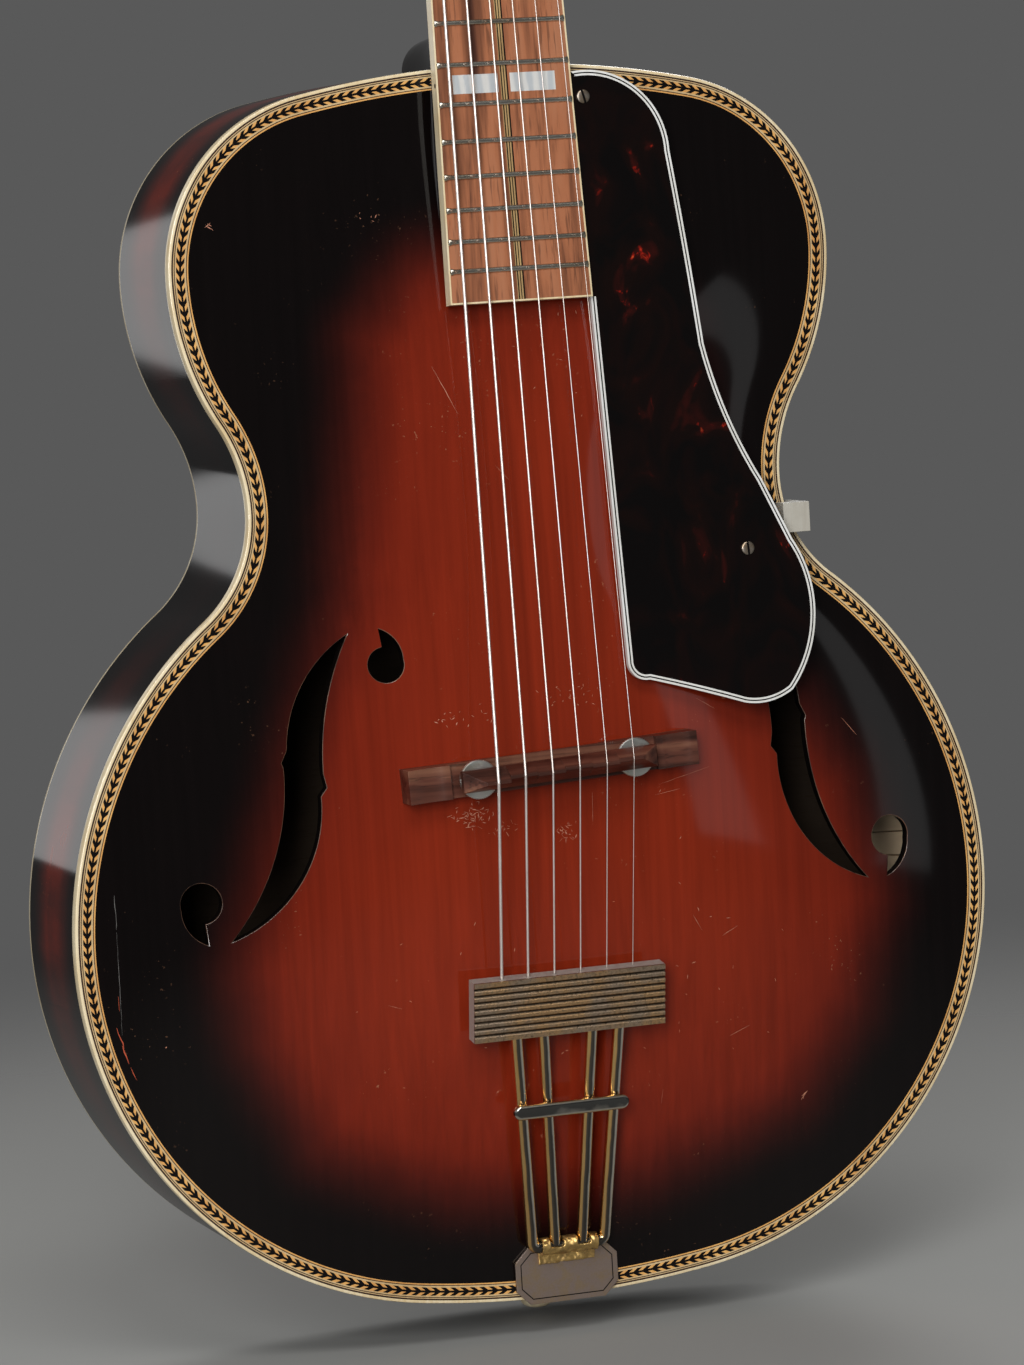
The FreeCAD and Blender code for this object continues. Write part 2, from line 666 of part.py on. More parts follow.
def neck_nodes():
    nut_end = JOINT_TO_NUT + NUT_LENGTH
    joint_half = board_half_width(0)
    shaft = Part.makeLoft([
        shaft_section(-RIM_THICKNESS, joint_half, SHAFT_DEPTH_AT_HEEL),
        shaft_section(nut_end, BOARD_HALF_WIDTH_AT_NUT, SHAFT_DEPTH_AT_NUT)], True, True)
    extension = board_blank(EXTENSION_INSET, -BOARD_OVERHANG + EXTENSION_INSET, 0, -DEEP, -BOARD_THICKNESS)
    # The strip over the top ends on the arch and on the level edge, and the heel on the rims.
    extension = on_neck(extension).cut(under_arch(TOP_ARCH, GLUE_LINE))
    extension = extension.cut(box(-LOWER_HALF_WIDTH, LOWER_HALF_WIDTH, 0, 2 * BODY_LENGTH,
                                  -2 * DEEP, GLUE_LINE))
    outside = body_prism(0, -RIM_DEPTH - OVERRUN, GLUE_LINE)
    wood = fused([on_neck(shaft).cut(outside), heel().cut(outside), extension,
                  on_head(prism(head_face(), -HEAD_THICKNESS, 0))])
    veneer = on_head(prism(head_face(), 0, VENEER_THICKNESS))
    cuts = Part.makeCompound([tuner_bore(spot) for spot in post_places()])
    screws = Part.makeCompound(tuner_screws())
    return {"neck": wood.cut(cuts).cut(screws), "headstock_veneer": veneer.cut(cuts)}


def post_places():
    # From the lowest string to the highest: three posts up the bass side, then three down the treble side.
    rows = [POST_FIRST_Y + POST_PITCH * row for row in range(POST_COUNT // 2)]
    return [(-1, y) for y in rows] + [(1, y) for y in reversed(rows)]


def tuner_bore(place):
    side, y = place
    return on_head(rod(V(side * POST_X, y, -HEAD_THICKNESS - OVERRUN),
                       V(side * POST_X, y, VENEER_THICKNESS + OVERRUN), BUSHING_RADIUS))


def tuner_levels():
    back = -HEAD_THICKNESS - TUNER_PLATE_THICKNESS
    gear_top = back - max(GEAR_LIFT, WORM_RADIUS + WORM_GAP - GEAR_THICKNESS / 2)
    return back, gear_top, gear_top - GEAR_THICKNESS


def worm_place(y):
    back, gear_top, gear_foot = tuner_levels()
    return y + GEAR_RADIUS + WORM_GAP + WORM_RADIUS, (gear_top + gear_foot) / 2


def ear_places(side):
    inner = POST_X - WORM_LENGTH / 2 - EAR_THICKNESS - WORM_GAP
    outer = POST_X + WORM_LENGTH / 2 + WORM_GAP
    return [sorted((side * near, side * (near + EAR_THICKNESS))) for near in (inner, outer)]


def gear_face():
    spots = []
    root = GEAR_RADIUS - GEAR_TOOTH_HEIGHT
    step = 2 * math.pi / GEAR_TEETH
    for tooth in range(GEAR_TEETH):
        for share, radius in zip(GEAR_FLANK_SHARES, (root, root, GEAR_RADIUS, GEAR_RADIUS)):
            spots.append(polar((0, 0), radius, step * (tooth + share)))
    return Part.Face(Part.makePolygon(spots + spots[:1]))


def button(side, x, y, z):
    # A flat oval pad with a short neck that takes the end of the shaft.
    far = x + side * BUTTON_LENGTH
    root = x + side * BUTTON_SOCKET
    middle = (root + far) / 2
    half = BUTTON_HALF_WIDTH
    waist = WORM_RADIUS
    face = closed_face((x, y - waist), [
        [(root, y - waist)],
        [(middle, y - half), (far, y)],
        [(middle, y + half), (root, y + waist)],
        [(x, y + waist)],
        [(x, y - waist)],
    ])
    return prism(face, z - BUTTON_THICKNESS / 2, z + BUTTON_THICKNESS / 2)


def head_edge(y):
    share = (y - HEAD_FLARE_LENGTH) / (HEAD_LENGTH - HEAD_FLARE_LENGTH)
    return HEAD_HALF_WIDTH_LOW + share * (HEAD_HALF_WIDTH_HIGH - HEAD_HALF_WIDTH_LOW)


def tuner_screws():
    screws = []
    seat = tuner_levels()[0] - GLUE_LINE
    places = post_places()
    for side in (-1, 1):
        rows = sorted(y for hand, y in places if hand == side)
        for y in (rows[0] - TUNER_PLATE_END / 2, (rows[0] + rows[1]) / 2, (rows[1] + rows[2]) / 2):
            for reach in (-TUNER_PLATE_INNER, TUNER_PLATE_OUTER):
                margin = math.copysign(TUNER_SCREW_HEAD_RADIUS + TUNER_SCREW_MARGIN, reach)
                x = side * (POST_X + reach - margin)
                shank = rod(V(x, y, seat), V(x, y, seat + TUNER_SCREW_LENGTH), TUNER_SCREW_RADIUS)
                head = rod(V(x, y, seat - TUNER_SCREW_HEAD), V(x, y, seat), TUNER_SCREW_HEAD_RADIUS)
                screws.append(on_head(shank.fuse(head)))
    return screws


def tuner_plates():
    back, gear_top, gear_foot = tuner_levels()
    plates = []
    for side in (-1, 1):
        rows = sorted(y for hand, y in post_places() if hand == side)
        near, far = sorted((side * (POST_X - TUNER_PLATE_INNER), side * (POST_X + TUNER_PLATE_OUTER)))
        pieces = [box(near, far, rows[0] - TUNER_PLATE_END, worm_place(rows[-1])[0] + EAR_HALF_WIDTH,
                      back, -HEAD_THICKNESS)]
        holes = []
        for y in rows:
            worm_y, worm_z = worm_place(y)
            for low, high in ear_places(side):
                pieces.append(box(low, high, worm_y - EAR_HALF_WIDTH, worm_y + EAR_HALF_WIDTH,
                                  worm_z - EAR_HALF_WIDTH, back))
            holes.append(rod(V(near, worm_y, worm_z), V(far, worm_y, worm_z), WORM_SHAFT_RADIUS + SHAFT_FIT))
            holes.append(rod(V(side * POST_X, y, back - OVERRUN), V(side * POST_X, y, 0),
                             POST_RADIUS + POST_FIT))
        plates.append(on_head(fused(pieces).cut(Part.makeCompound(holes))))
    return Part.makeCompound(plates).cut(Part.makeCompound(tuner_screws()))


def tuner_nodes():
    back, gear_top, gear_foot = tuner_levels()
    nodes = {"tuner_plates": tuner_plates(), "tuner_screws": Part.makeCompound(tuner_screws())}
    bushings = []
    for number, (side, y) in enumerate(post_places(), 1):
        x = side * POST_X
        top = VENEER_THICKNESS + POST_RISE
        post = rod(V(x, y, gear_foot), V(x, y, top), POST_RADIUS)
        gear = prism(gear_face(), gear_foot, gear_top)
        gear.translate(V(x, y, 0))
        nodes["string_post_%d" % number] = on_head(Part.makeCompound([post, gear.cut(post)]))
        barrel = rod(V(x, y, -HEAD_THICKNESS), V(x, y, VENEER_THICKNESS), BUSHING_RADIUS)
        flange = rod(V(x, y, VENEER_THICKNESS), V(x, y, VENEER_THICKNESS + BUSHING_FLANGE),
                     BUSHING_FLANGE_RADIUS)
        bore = rod(V(x, y, -HEAD_THICKNESS - OVERRUN), V(x, y, top), POST_RADIUS + POST_FIT)
        bushings.append(on_head(barrel.fuse(flange).cut(bore)))
        worm_y, worm_z = worm_place(y)
        start = side * (POST_X - TUNER_PLATE_INNER)
        stop = side * (head_edge(y) + BUTTON_STANDOFF)
        tip = stop + side * BUTTON_SOCKET
        shaft = rod(V(start, worm_y, worm_z), V(tip, worm_y, worm_z), WORM_SHAFT_RADIUS)
        worm = rod(V(x - WORM_LENGTH / 2, worm_y, worm_z), V(x + WORM_LENGTH / 2, worm_y, worm_z), WORM_RADIUS)
        shaft = shaft.fuse(worm)
        pad = button(side, stop, worm_y, worm_z).cut(shaft)
        nodes["worm_shaft_%d" % number] = on_head(shaft)
        nodes["tuner_button_%d" % number] = on_head(pad)
    nodes["post_bushings"] = Part.makeCompound(bushings)
    return nodes


def on_bridge(shape):
    shape.rotate(ORIGIN, UP, BRIDGE_SLANT)
    shape.translate(V(0, BRIDGE_Y, 0))
    return shape


def spread(width, number):
    return width * (number / (len(STRING_RADII) - 1) - 1 / 2)


def saddle_foot():
    return BASE_TOP + WHEEL_GAP + WHEEL_THICKNESS + GLUE_LINE


def saddle():
    foot = saddle_foot()
    half = SADDLE_DEPTH / 2
    marks = [spread(SADDLE_SPREAD, number + 1 / 2) for number in range(len(STRING_RADII) - 1)]
    marks = [-SADDLE_LENGTH / 2] + marks + [SADDLE_LENGTH / 2]
    pieces = []
    for number, share in enumerate(COMPENSATION_SHARES):
        ridge = share * SADDLE_DEPTH
        x = marks[number]
        corners = [V(x, -half, foot), V(x, half, foot), V(x, half, foot + SADDLE_FOOT),
                   V(x, ridge + SADDLE_RIDGE / 2, SADDLE_TOP), V(x, ridge - SADDLE_RIDGE / 2, SADDLE_TOP),
                   V(x, -half, foot + SADDLE_FOOT)]
        pieces.append(polygon_prism(corners, V(marks[number + 1] - x, 0, 0)))
    end = SADDLE_LENGTH / 2
    wedge = polygon_prism([
        V(end - SADDLE_END_SLOPE, -SADDLE_DEPTH, SADDLE_TOP), V(end, -SADDLE_DEPTH, SADDLE_TOP - SADDLE_END_DROP),
        V(end + OVERRUN, -SADDLE_DEPTH, SADDLE_TOP + OVERRUN)], V(0, 2 * SADDLE_DEPTH, 0))
    bores = [rod(V(x, 0, foot - OVERRUN), V(x, 0, STUD_TOP + SADDLE_BORE_ROOM), STUD_RADIUS + SLIDE_FIT)
             for x in (-STUD_SPACING / 2, STUD_SPACING / 2)]
    return fused(pieces).cut(Part.makeCompound([wedge, mirrored(wedge)] + bores))


def bridge_nodes():
    half = BRIDGE_LENGTH / 2
    depth = BRIDGE_DEPTH / 2
    blocks = [box(half - END_BLOCK_LENGTH, half, -depth, depth, 0, END_BLOCK_TOP)]
    hollow = END_BLOCK_LENGTH - 2 * END_BLOCK_LIP
    bend = hollow ** 2 / (8 * END_BLOCK_DISH) + END_BLOCK_DISH / 2
    axis = V(half - END_BLOCK_LENGTH / 2, -depth - OVERRUN, END_BLOCK_TOP + bend - END_BLOCK_DISH)
    blocks[0] = blocks[0].cut(rod(axis, axis + V(0, BRIDGE_DEPTH + 2 * OVERRUN, 0), bend))
    blocks.append(mirrored(blocks[0]))
    blocks.append(box(-half, half, -depth, depth, 0, BASE_TOP))
    relief = box(-BASE_RELIEF_LENGTH / 2, BASE_RELIEF_LENGTH / 2, -depth - OVERRUN, depth + OVERRUN,
                 0, TOP_ARCH + BASE_RELIEF)
    base = on_bridge(fused(blocks).cut(relief)).cut(under_arch(TOP_ARCH, GLUE_LINE))
    studs = []
    wheels = []
    for x in (-STUD_SPACING / 2, STUD_SPACING / 2):
        studs.append(on_bridge(rod(V(x, 0, BASE_TOP - STUD_SINK), V(x, 0, STUD_TOP), STUD_RADIUS)))
        foot = BASE_TOP + WHEEL_GAP
        wheel = rod(V(x, 0, foot), V(x, 0, foot + WHEEL_THICKNESS), WHEEL_RADIUS)
        wheels.append(on_bridge(wheel.cut(rod(V(x, 0, foot - OVERRUN), V(x, 0, foot + WHEEL_THICKNESS + OVERRUN),
                                              STUD_RADIUS + SLIDE_FIT))))
    return {
        "bridge_base": base.cut(Part.makeCompound(studs)),
        "bridge_posts": Part.makeCompound(studs),
        "thumbwheel_bass": wheels[0],
        "thumbwheel_treble": wheels[1],
        "bridge_saddle": on_bridge(saddle()),
    }


def hinge_level():
    return HANGER_LIFT + HANGER_THICKNESS + ROD_RADIUS + HINGE_FIT + SLEEVE_WALL


def on_tailpiece(shape):
    shape.rotate(ORIGIN, ACROSS, TAIL_TILT)
    shape.translate(V(0, HINGE_Y, hinge_level()))
    return shape


def tailpiece_rods():
    end = BAR_REACH + ROD_TUCK
    lean = (OUTER_ROD_X_AT_BAR - OUTER_ROD_X_AT_HINGE) / BAR_REACH
    outer_end = V(OUTER_ROD_X_AT_HINGE + lean * end, end, 0)
    corner = V(OUTER_ROD_X_AT_HINGE, 0, 0)
    leg = (outer_end - corner).normalize()
    turn = math.pi - leg.getAngle(V(-1, 0, 0))
    reach = ROD_BEND * math.tan(turn / 2)
    onto_leg = corner + leg * reach
    onto_pin = corner + V(-reach, 0, 0)
    bisector = (leg + V(-1, 0, 0)).normalize()
    bend_middle = corner + bisector * (ROD_BEND / math.cos(turn / 2) - ROD_BEND)
    half = [Part.makeLine(outer_end, onto_leg), Part.Arc(onto_leg, bend_middle, onto_pin).toShape()]
    other = [mirrored(edge) for edge in reversed(half)]
    pin = Part.makeLine(onto_pin, V(-onto_pin.x, 0, 0))
    path = Part.Wire(Part.__sortEdges__(half + [pin] + other))
    section = Part.Wire(Part.makeCircle(ROD_RADIUS, outer_end, leg))
    outer = path.makePipeShell([section], True, True)
    lean = (INNER_ROD_X_AT_BAR - INNER_ROD_X_AT_HINGE) / BAR_REACH
    inner = rod(V(INNER_ROD_X_AT_HINGE, 0, 0), V(INNER_ROD_X_AT_HINGE + lean * end, end, 0), ROD_RADIUS)
    return outer.multiFuse([inner, mirrored(inner)])


def tail_bar(rods):
    # A pressed tray, open below, with a ribbed top and holes for the rods and the strings.
    half = BAR_WIDTH / 2
    far = BAR_REACH + BAR_LENGTH
    ceiling = ROD_RADIUS + GLUE_LINE
    top = ceiling + BAR_WALL
    tray = box(-half, half, BAR_REACH, far, -top, top)
    tray = tray.cut(box(BAR_WALL - half, half - BAR_WALL, BAR_REACH + BAR_WALL, far - BAR_WALL,
                        -top - OVERRUN, ceiling))
    pitch = BAR_LENGTH / (BAR_GROOVES + 1)
    grooves = []
    for number in range(1, BAR_GROOVES + 1):
        y = BAR_REACH + pitch * number
        wide = BAR_GROOVE_SHARE * pitch / 2
        corners = [V(-half - OVERRUN, y - wide, top), V(-half - OVERRUN, y + wide, top),
                   V(-half - OVERRUN, y, top - BAR_GROOVE_DEPTH)]
        grooves.append(polygon_prism(corners, V(BAR_WIDTH + 2 * OVERRUN, 0, 0)))
    holes = []
    for number, radius in enumerate(STRING_RADII):
        x = spread(TAIL_SPREAD, number)
        holes.append(rod(V(x, far - BAR_WALL - OVERRUN, 0), V(x, far + OVERRUN, 0),
                         radius + 2 * STRING_CLEARANCE))
    return tray.cut(Part.makeCompound(grooves + holes)).cut(rods)


def crossbar():
    half = CROSSBAR_LENGTH / 2 - CROSSBAR_WIDTH / 2
    low = CROSSBAR_REACH - CROSSBAR_WIDTH / 2
    high = CROSSBAR_REACH + CROSSBAR_WIDTH / 2
    face = closed_face((-half, low), [
        [(half, low)],
        [(half + CROSSBAR_WIDTH / 2, CROSSBAR_REACH), (half, high)],
        [(-half, high)],
        [(-half - CROSSBAR_WIDTH / 2, CROSSBAR_REACH), (-half, low)],
    ])
    bar = prism(face, ROD_RADIUS, ROD_RADIUS + CROSSBAR_THICKNESS)
    rim = [edge for edge in bar.Edges if edge.BoundBox.ZMin > ROD_RADIUS + CROSSBAR_THICKNESS / 2]
    return bar.makeFillet(CROSSBAR_EDGE, rim)


def hinge_sleeve():
    outer = ROD_RADIUS + HINGE_FIT + SLEEVE_WALL
    level = hinge_level()
    seat = level - outer
    tube = rod(V(-SLEEVE_HALF_LENGTH, HINGE_Y, level), V(SLEEVE_HALF_LENGTH, HINGE_Y, level), outer)
    tab = box(-SLEEVE_HALF_LENGTH, SLEEVE_HALF_LENGTH, HINGE_Y - SLEEVE_TAB_LENGTH, HINGE_Y,
              seat, seat + SLEEVE_TAB_THICKNESS)
    bore = rod(V(-SLEEVE_HALF_LENGTH - OVERRUN, HINGE_Y, level),
               V(SLEEVE_HALF_LENGTH + OVERRUN, HINGE_Y, level), ROD_RADIUS + HINGE_FIT)
    room = ROD_RADIUS + SLEEVE_SLOT_ROOM
    slots = []
    for x in (-INNER_ROD_X_AT_HINGE, INNER_ROD_X_AT_HINGE):
        slots.append(box(x - room, x + room, HINGE_Y, HINGE_Y + 2 * outer, level - room, level + 2 * outer))
    return tube.fuse(tab).cut(Part.makeCompound(slots + [bore]))


def tail_screws():
    screws = []
    face = -HANGER_GAP - HANGER_THICKNESS
    for share in HANGER_SCREW_LEVEL_SHARES:
        level = -share * STRAP_LENGTH
        head = rod(V(0, face - HANGER_SCREW_HEAD, level), V(0, face, level), HANGER_SCREW_HEAD_RADIUS)
        shank = rod(V(0, face, level), V(0, face + HANGER_SCREW_LENGTH, level), HANGER_SCREW_RADIUS)
        screws.append(head.fuse(shank))
    return screws


def end_pin():
    face = -HANGER_GAP - HANGER_THICKNESS
    level = -RIM_DEPTH / 2
    profile = [
        (END_PIN_STEM_RADIUS, END_PIN_STEM),
        (END_PIN_STEM_RADIUS, face),
        (END_PIN_COLLAR_RADIUS, face),
        (END_PIN_WAIST_RADIUS, face - END_PIN_COLLAR),
        (END_PIN_HEAD_RADIUS, face - END_PIN_COLLAR - END_PIN_HEAD / 2),
        (END_PIN_HEAD_RADIUS / 2, face - END_PIN_COLLAR - END_PIN_HEAD),
    ]
    corners = [V(0, END_PIN_STEM, 0)] + [V(x, y, 0) for x, y in profile] + [V(0, profile[-1][1], 0)]
    pin = Part.Face(Part.makePolygon(corners + corners[:1])).revolve(ORIGIN, ALONG, 360)
    pin.translate(V(0, 0, level))
    return pin


def hanger(fasteners):
    low = -HANGER_GAP - HANGER_THICKNESS
    high = low + HANGER_LENGTH
    half = HANGER_HALF_WIDTH
    cut = HANGER_CORNER
    face = closed_face((cut - half, low), [
        [(half - cut, low)],
        [(half, low + cut)],
        [(half, high - cut)],
        [(half - cut, high)],
        [(cut - half, high)],
        [(-half, high - cut)],
        [(-half, low + cut)],
        [(cut - half, low)],
    ])
    plate = prism(face, HANGER_LIFT, HANGER_LIFT + HANGER_THICKNESS)
    strap = box(-STRAP_WIDTH / 2, STRAP_WIDTH / 2, low, -HANGER_GAP, -STRAP_LENGTH,
                HANGER_LIFT + HANGER_THICKNESS)
    foot = [edge for edge in strap.Edges
            if edge.BoundBox.ZMax < OVERRUN - STRAP_LENGTH and edge.BoundBox.YLength > HANGER_THICKNESS / 2]
    strap = strap.makeFillet(STRAP_CORNER, foot)
    return plate.fuse(strap).removeSplitter().cut(Part.makeCompound(fasteners))


def tailpiece_nodes():
    rods = tailpiece_rods()
    screws = tail_screws()
    pin = end_pin()
    return {
        "tailpiece_bar": on_tailpiece(tail_bar(rods)),
        "tailpiece_rods": on_tailpiece(rods),
        "tailpiece_crossbar": on_tailpiece(crossbar()),
        "hinge_sleeve": hinge_sleeve(),
        "tailpiece_hanger": hanger(screws + [pin]),
        "hanger_screws": Part.makeCompound(screws),
        "end_pin": pin,
    }


def on_guard(shape):
    # The guard frame has its origin under the neck end of the guard's top face, level with the rims.
    fall = math.atan2(GUARD_HEIGHT_AT_TAIL - GUARD_HEIGHT_AT_NECK, GUARD_LENGTH)
    shape.rotate(V(0, GUARD_Y + GUARD_LENGTH, 0), ACROSS, -math.degrees(fall))
    shape.translate(V(0, 0, GUARD_HEIGHT_AT_NECK))
    return shape


def guard_level(y):
    share = (GUARD_Y + GUARD_LENGTH - y) / GUARD_LENGTH
    return GUARD_HEIGHT_AT_NECK + share * (GUARD_HEIGHT_AT_TAIL - GUARD_HEIGHT_AT_NECK)


def guard_spot(shares):
    start = board_half_width(-GUARD_NECK_GAP) + GUARD_GAP
    return (start + GUARD_WIDTH * shares[0], GUARD_Y + GUARD_LENGTH * shares[1])


def guard_face():
    corner = guard_spot((0, 1))
    foot = (board_half_width(-BOARD_OVERHANG) + GUARD_GAP, BODY_LENGTH - BOARD_OVERHANG)
    steps = [[guard_spot(spot) for spot in step] for step in GUARD_SIDE_SHARES]
    return closed_face(corner, steps + [[foot], [corner]])


def guard_screws():
    screws = []
    for shares, depth in ((NECK_SCREW_SHARES, GUARD_HEIGHT_AT_NECK / 2),
                          (RIM_SCREW_SHARES, GUARD_THICKNESS + LUG_THICKNESS)):
        x, y = guard_spot(shares)
        level = guard_level(y)
        head = rod(V(x, y, level + GLUE_LINE), V(x, y, level + GLUE_LINE + GUARD_SCREW_HEAD),
                   GUARD_SCREW_HEAD_RADIUS)
        shank = rod(V(x, y, level - depth), V(x, y, level + GLUE_LINE), GUARD_SCREW_RADIUS)
        screws.append(head.fuse(shank))
    return screws


def guard_nodes():
    face = guard_face()
    whole = on_guard(prism(face, -GUARD_THICKNESS, 0))
    core = on_guard(prism(face.makeOffset2D(-GUARD_EDGE), -GUARD_THICKNESS, 0))
    screws = guard_screws()
    cuts = Part.makeCompound(screws)
    x, y = guard_spot(NECK_SCREW_SHARES)
    under = guard_level(y) - GUARD_THICKNESS - SIDE_GAP
    spacer = rod(V(x, y, -SPACER_RADIUS), V(x, y, under), SPACER_RADIUS)
    spacer = spacer.cut(under_arch(TOP_ARCH, GLUE_LINE)).cut(cuts)
    x, y = guard_spot(RIM_SCREW_SHARES)
    lug_top = guard_level(y) - GUARD_THICKNESS - SIDE_GAP
    lug = rod(V(x, y, lug_top - LUG_THICKNESS), V(x, y, lug_top), LUG_RADIUS)
    low = CLAMP_Y - CLAMP_LENGTH / 2
    high = CLAMP_Y + CLAMP_LENGTH / 2
    edge = max(half_width(low, 0), half_width(high, 0))
    clamp_top = CLAMP_SEAT + CLAMP_HEIGHT
    outside = edge + SIDE_GAP + CLAMP_LIP
    block = box(edge - CLAMP_REACH, outside, low, high, CLAMP_SEAT, clamp_top)
    lip = box(edge + SIDE_GAP, outside, low, high, -CLAMP_DROP, clamp_top)
    socket = V(edge - CLAMP_REACH / 2, CLAMP_Y, CLAMP_SEAT + CLAMP_HEIGHT / 2)
    bracket = lug.fuse(rod(V(x, y, lug_top - LUG_THICKNESS / 2), socket, BRACKET_RADIUS)).cut(cuts)
    return {
        "pickguard": core.cut(cuts),
        "pickguard_binding": whole.cut(core),
        "pickguard_spacer": spacer,
        "pickguard_bracket": bracket,
        "pickguard_clamp": fused([block, lip]).cut(bracket),
        "pickguard_screws": cuts,
    }


def string_path(number):
    radius = STRING_RADII[number]
    lift = STRING_CLEARANCE + radius
    far = BAR_REACH + BAR_LENGTH
    tail_x = spread(TAIL_SPREAD, number)
    start = on_tailpiece(Part.Vertex(tail_x, far - BAR_WALL - STRING_CLEARANCE, 0)).Point
    over_saddle = on_bridge(Part.Vertex(spread(SADDLE_SPREAD, number),
                                        COMPENSATION_SHARES[number] * SADDLE_DEPTH, SADDLE_TOP + lift)).Point
    nut_x = spread(NUT_SPREAD, number)
    over_nut = neck_spot(nut_x, JOINT_TO_NUT + NUT_LENGTH / 2, NUT_RISE - NUT_SLOT_DEPTH + lift)
    side, post_y = post_places()[number]
    post_x = side * (POST_X - POST_RADIUS - lift)
    at_post = head_spot(post_x, post_y, VENEER_THICKNESS + STRING_RISE_ON_POST)
    return [start, over_saddle, over_nut, at_post]


def string(number):
    path = string_path(number)
    sweep = Part.BRepOffsetAPI.MakePipeShell(Part.makePolygon(path))
    sweep.setTransitionMode(1)
    sweep.add(Part.Wire(Part.makeCircle(STRING_RADII[number], path[0], path[1] - path[0])))
    sweep.build()
    sweep.makeSolid()
    return sweep.shape()


def nut_slots():
    # Each slot has its floor under the string, with a bend half way, and is open above.
    slots = []
    for number, radius in enumerate(STRING_RADII):
        on_saddle, on_nut, on_post = string_path(number)[1:]
        x = on_nut.x - radius - 2 * STRING_CLEARANCE
        drop = V(0, 0, -radius - STRING_CLEARANCE)
        near, far = [on_nut + drop + (spot - on_nut).normalize() * NUT_LENGTH for spot in (on_saddle, on_post)]
        above = V(0, 0, NUT_LENGTH)
        corners = [V(x, spot.y, spot.z) for spot in (near, on_nut + drop, far, far + above, near + above)]
        slots.append(polygon_prism(corners, V(2 * (on_nut.x - x), 0, 0)))
    return slots


def string_nodes():
    strings = [string(number) for number in range(len(STRING_RADII))]
    balls = []
    inside = BAR_REACH + BAR_LENGTH - BAR_WALL - STRING_CLEARANCE
    for number in range(len(STRING_RADII)):
        x = spread(TAIL_SPREAD, number)
        balls.append(on_tailpiece(rod(V(x - BALL_LENGTH / 2, inside - BALL_RADIUS, 0),
                                      V(x + BALL_LENGTH / 2, inside - BALL_RADIUS, 0), BALL_RADIUS)))
    return {
        "wound_strings": Part.makeCompound(strings[:WOUND_COUNT]),
        "plain_strings": Part.makeCompound(strings[WOUND_COUNT:]),
        "ball_ends": Part.makeCompound(balls),
    }


def stand_up(shape):
    # The origin is at the tail, where the end pin meets the rims, half way between top and back.
    shape.translate(V(0, 0, RIM_DEPTH / 2))
    shape.rotate(ORIGIN, ACROSS, 90)
    return shape


def main():
    nodes = body_nodes()
    tail_cuts = Part.makeCompound(tail_screws() + [end_pin()])
    for name in ("side_rims", "tail_block"):
        nodes[name] = nodes[name].cut(tail_cuts)
    for group in (board_nodes, neck_nodes, tuner_nodes, bridge_nodes, tailpiece_nodes, guard_nodes, string_nodes):
        nodes.update(group())
    for slot in nut_slots():
        nodes["nut"] = nodes["nut"].cut(slot)
    os.makedirs("parts", exist_ok=True)
    for name, shape in nodes.items():
        stand_up(shape).exportStep("parts/%s.step" % name)
        print(name, len(shape.Solids), round(shape.Volume), shape.isValid())


main()
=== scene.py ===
# %% [markdown]
# # Dressing an archtop guitar
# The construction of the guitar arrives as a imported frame: every piece at its real size, each riding on
# the body that carries it. This lesson gives the pieces their looks. Flat solids become carved plates,
# strips of inlay, wound strings and worn metal, and nothing is moved or resized on the way.

# %% Load the frame
import json
import math

import bmesh
import bpy
import numpy as np
from mathutils import Matrix, Vector, geometry, kdtree


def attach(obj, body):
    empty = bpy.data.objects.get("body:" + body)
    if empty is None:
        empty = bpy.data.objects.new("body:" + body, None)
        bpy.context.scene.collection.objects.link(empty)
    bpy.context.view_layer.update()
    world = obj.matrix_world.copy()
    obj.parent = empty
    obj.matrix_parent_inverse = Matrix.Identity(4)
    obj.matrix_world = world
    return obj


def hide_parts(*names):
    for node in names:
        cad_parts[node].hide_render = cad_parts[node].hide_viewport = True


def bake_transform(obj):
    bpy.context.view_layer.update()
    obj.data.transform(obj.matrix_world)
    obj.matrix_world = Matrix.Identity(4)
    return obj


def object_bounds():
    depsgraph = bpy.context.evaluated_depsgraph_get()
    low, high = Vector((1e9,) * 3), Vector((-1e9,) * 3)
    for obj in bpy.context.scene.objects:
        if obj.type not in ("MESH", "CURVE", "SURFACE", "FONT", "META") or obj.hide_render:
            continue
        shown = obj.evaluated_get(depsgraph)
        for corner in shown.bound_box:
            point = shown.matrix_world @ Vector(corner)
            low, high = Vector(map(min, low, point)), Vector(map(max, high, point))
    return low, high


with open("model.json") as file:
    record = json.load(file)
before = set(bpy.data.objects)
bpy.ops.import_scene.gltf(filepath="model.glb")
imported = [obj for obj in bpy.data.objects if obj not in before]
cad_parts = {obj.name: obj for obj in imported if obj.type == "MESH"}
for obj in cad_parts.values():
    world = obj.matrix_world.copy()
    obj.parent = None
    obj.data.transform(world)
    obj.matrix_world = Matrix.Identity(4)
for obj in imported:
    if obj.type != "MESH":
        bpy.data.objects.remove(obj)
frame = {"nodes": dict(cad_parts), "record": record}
cad_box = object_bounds()
body_of = {node: body for body, nodes in frame["record"]["behaviour"]["bodies"].items() for node in nodes}

# %% [markdown]
# ## The bench
# A luthier thinks of the body lying on the bench: across, along from tail to neck, and up out of the top,
# in millimetres, with zero at the top edge of the rims. One small function turns such points into metres
# in the frame, where the guitar stands upright with its top facing -Y. A shape is a pair of points and
# faces, and most shapes are lofts, rows of quads between rings of points. A piece is a shape with its
# finish, riding on the body of the CAD node that it stands for.

# %% From the bench to the frame
RIM_DEPTH = 80.0
MM = 0.001
SHARP = 35.0


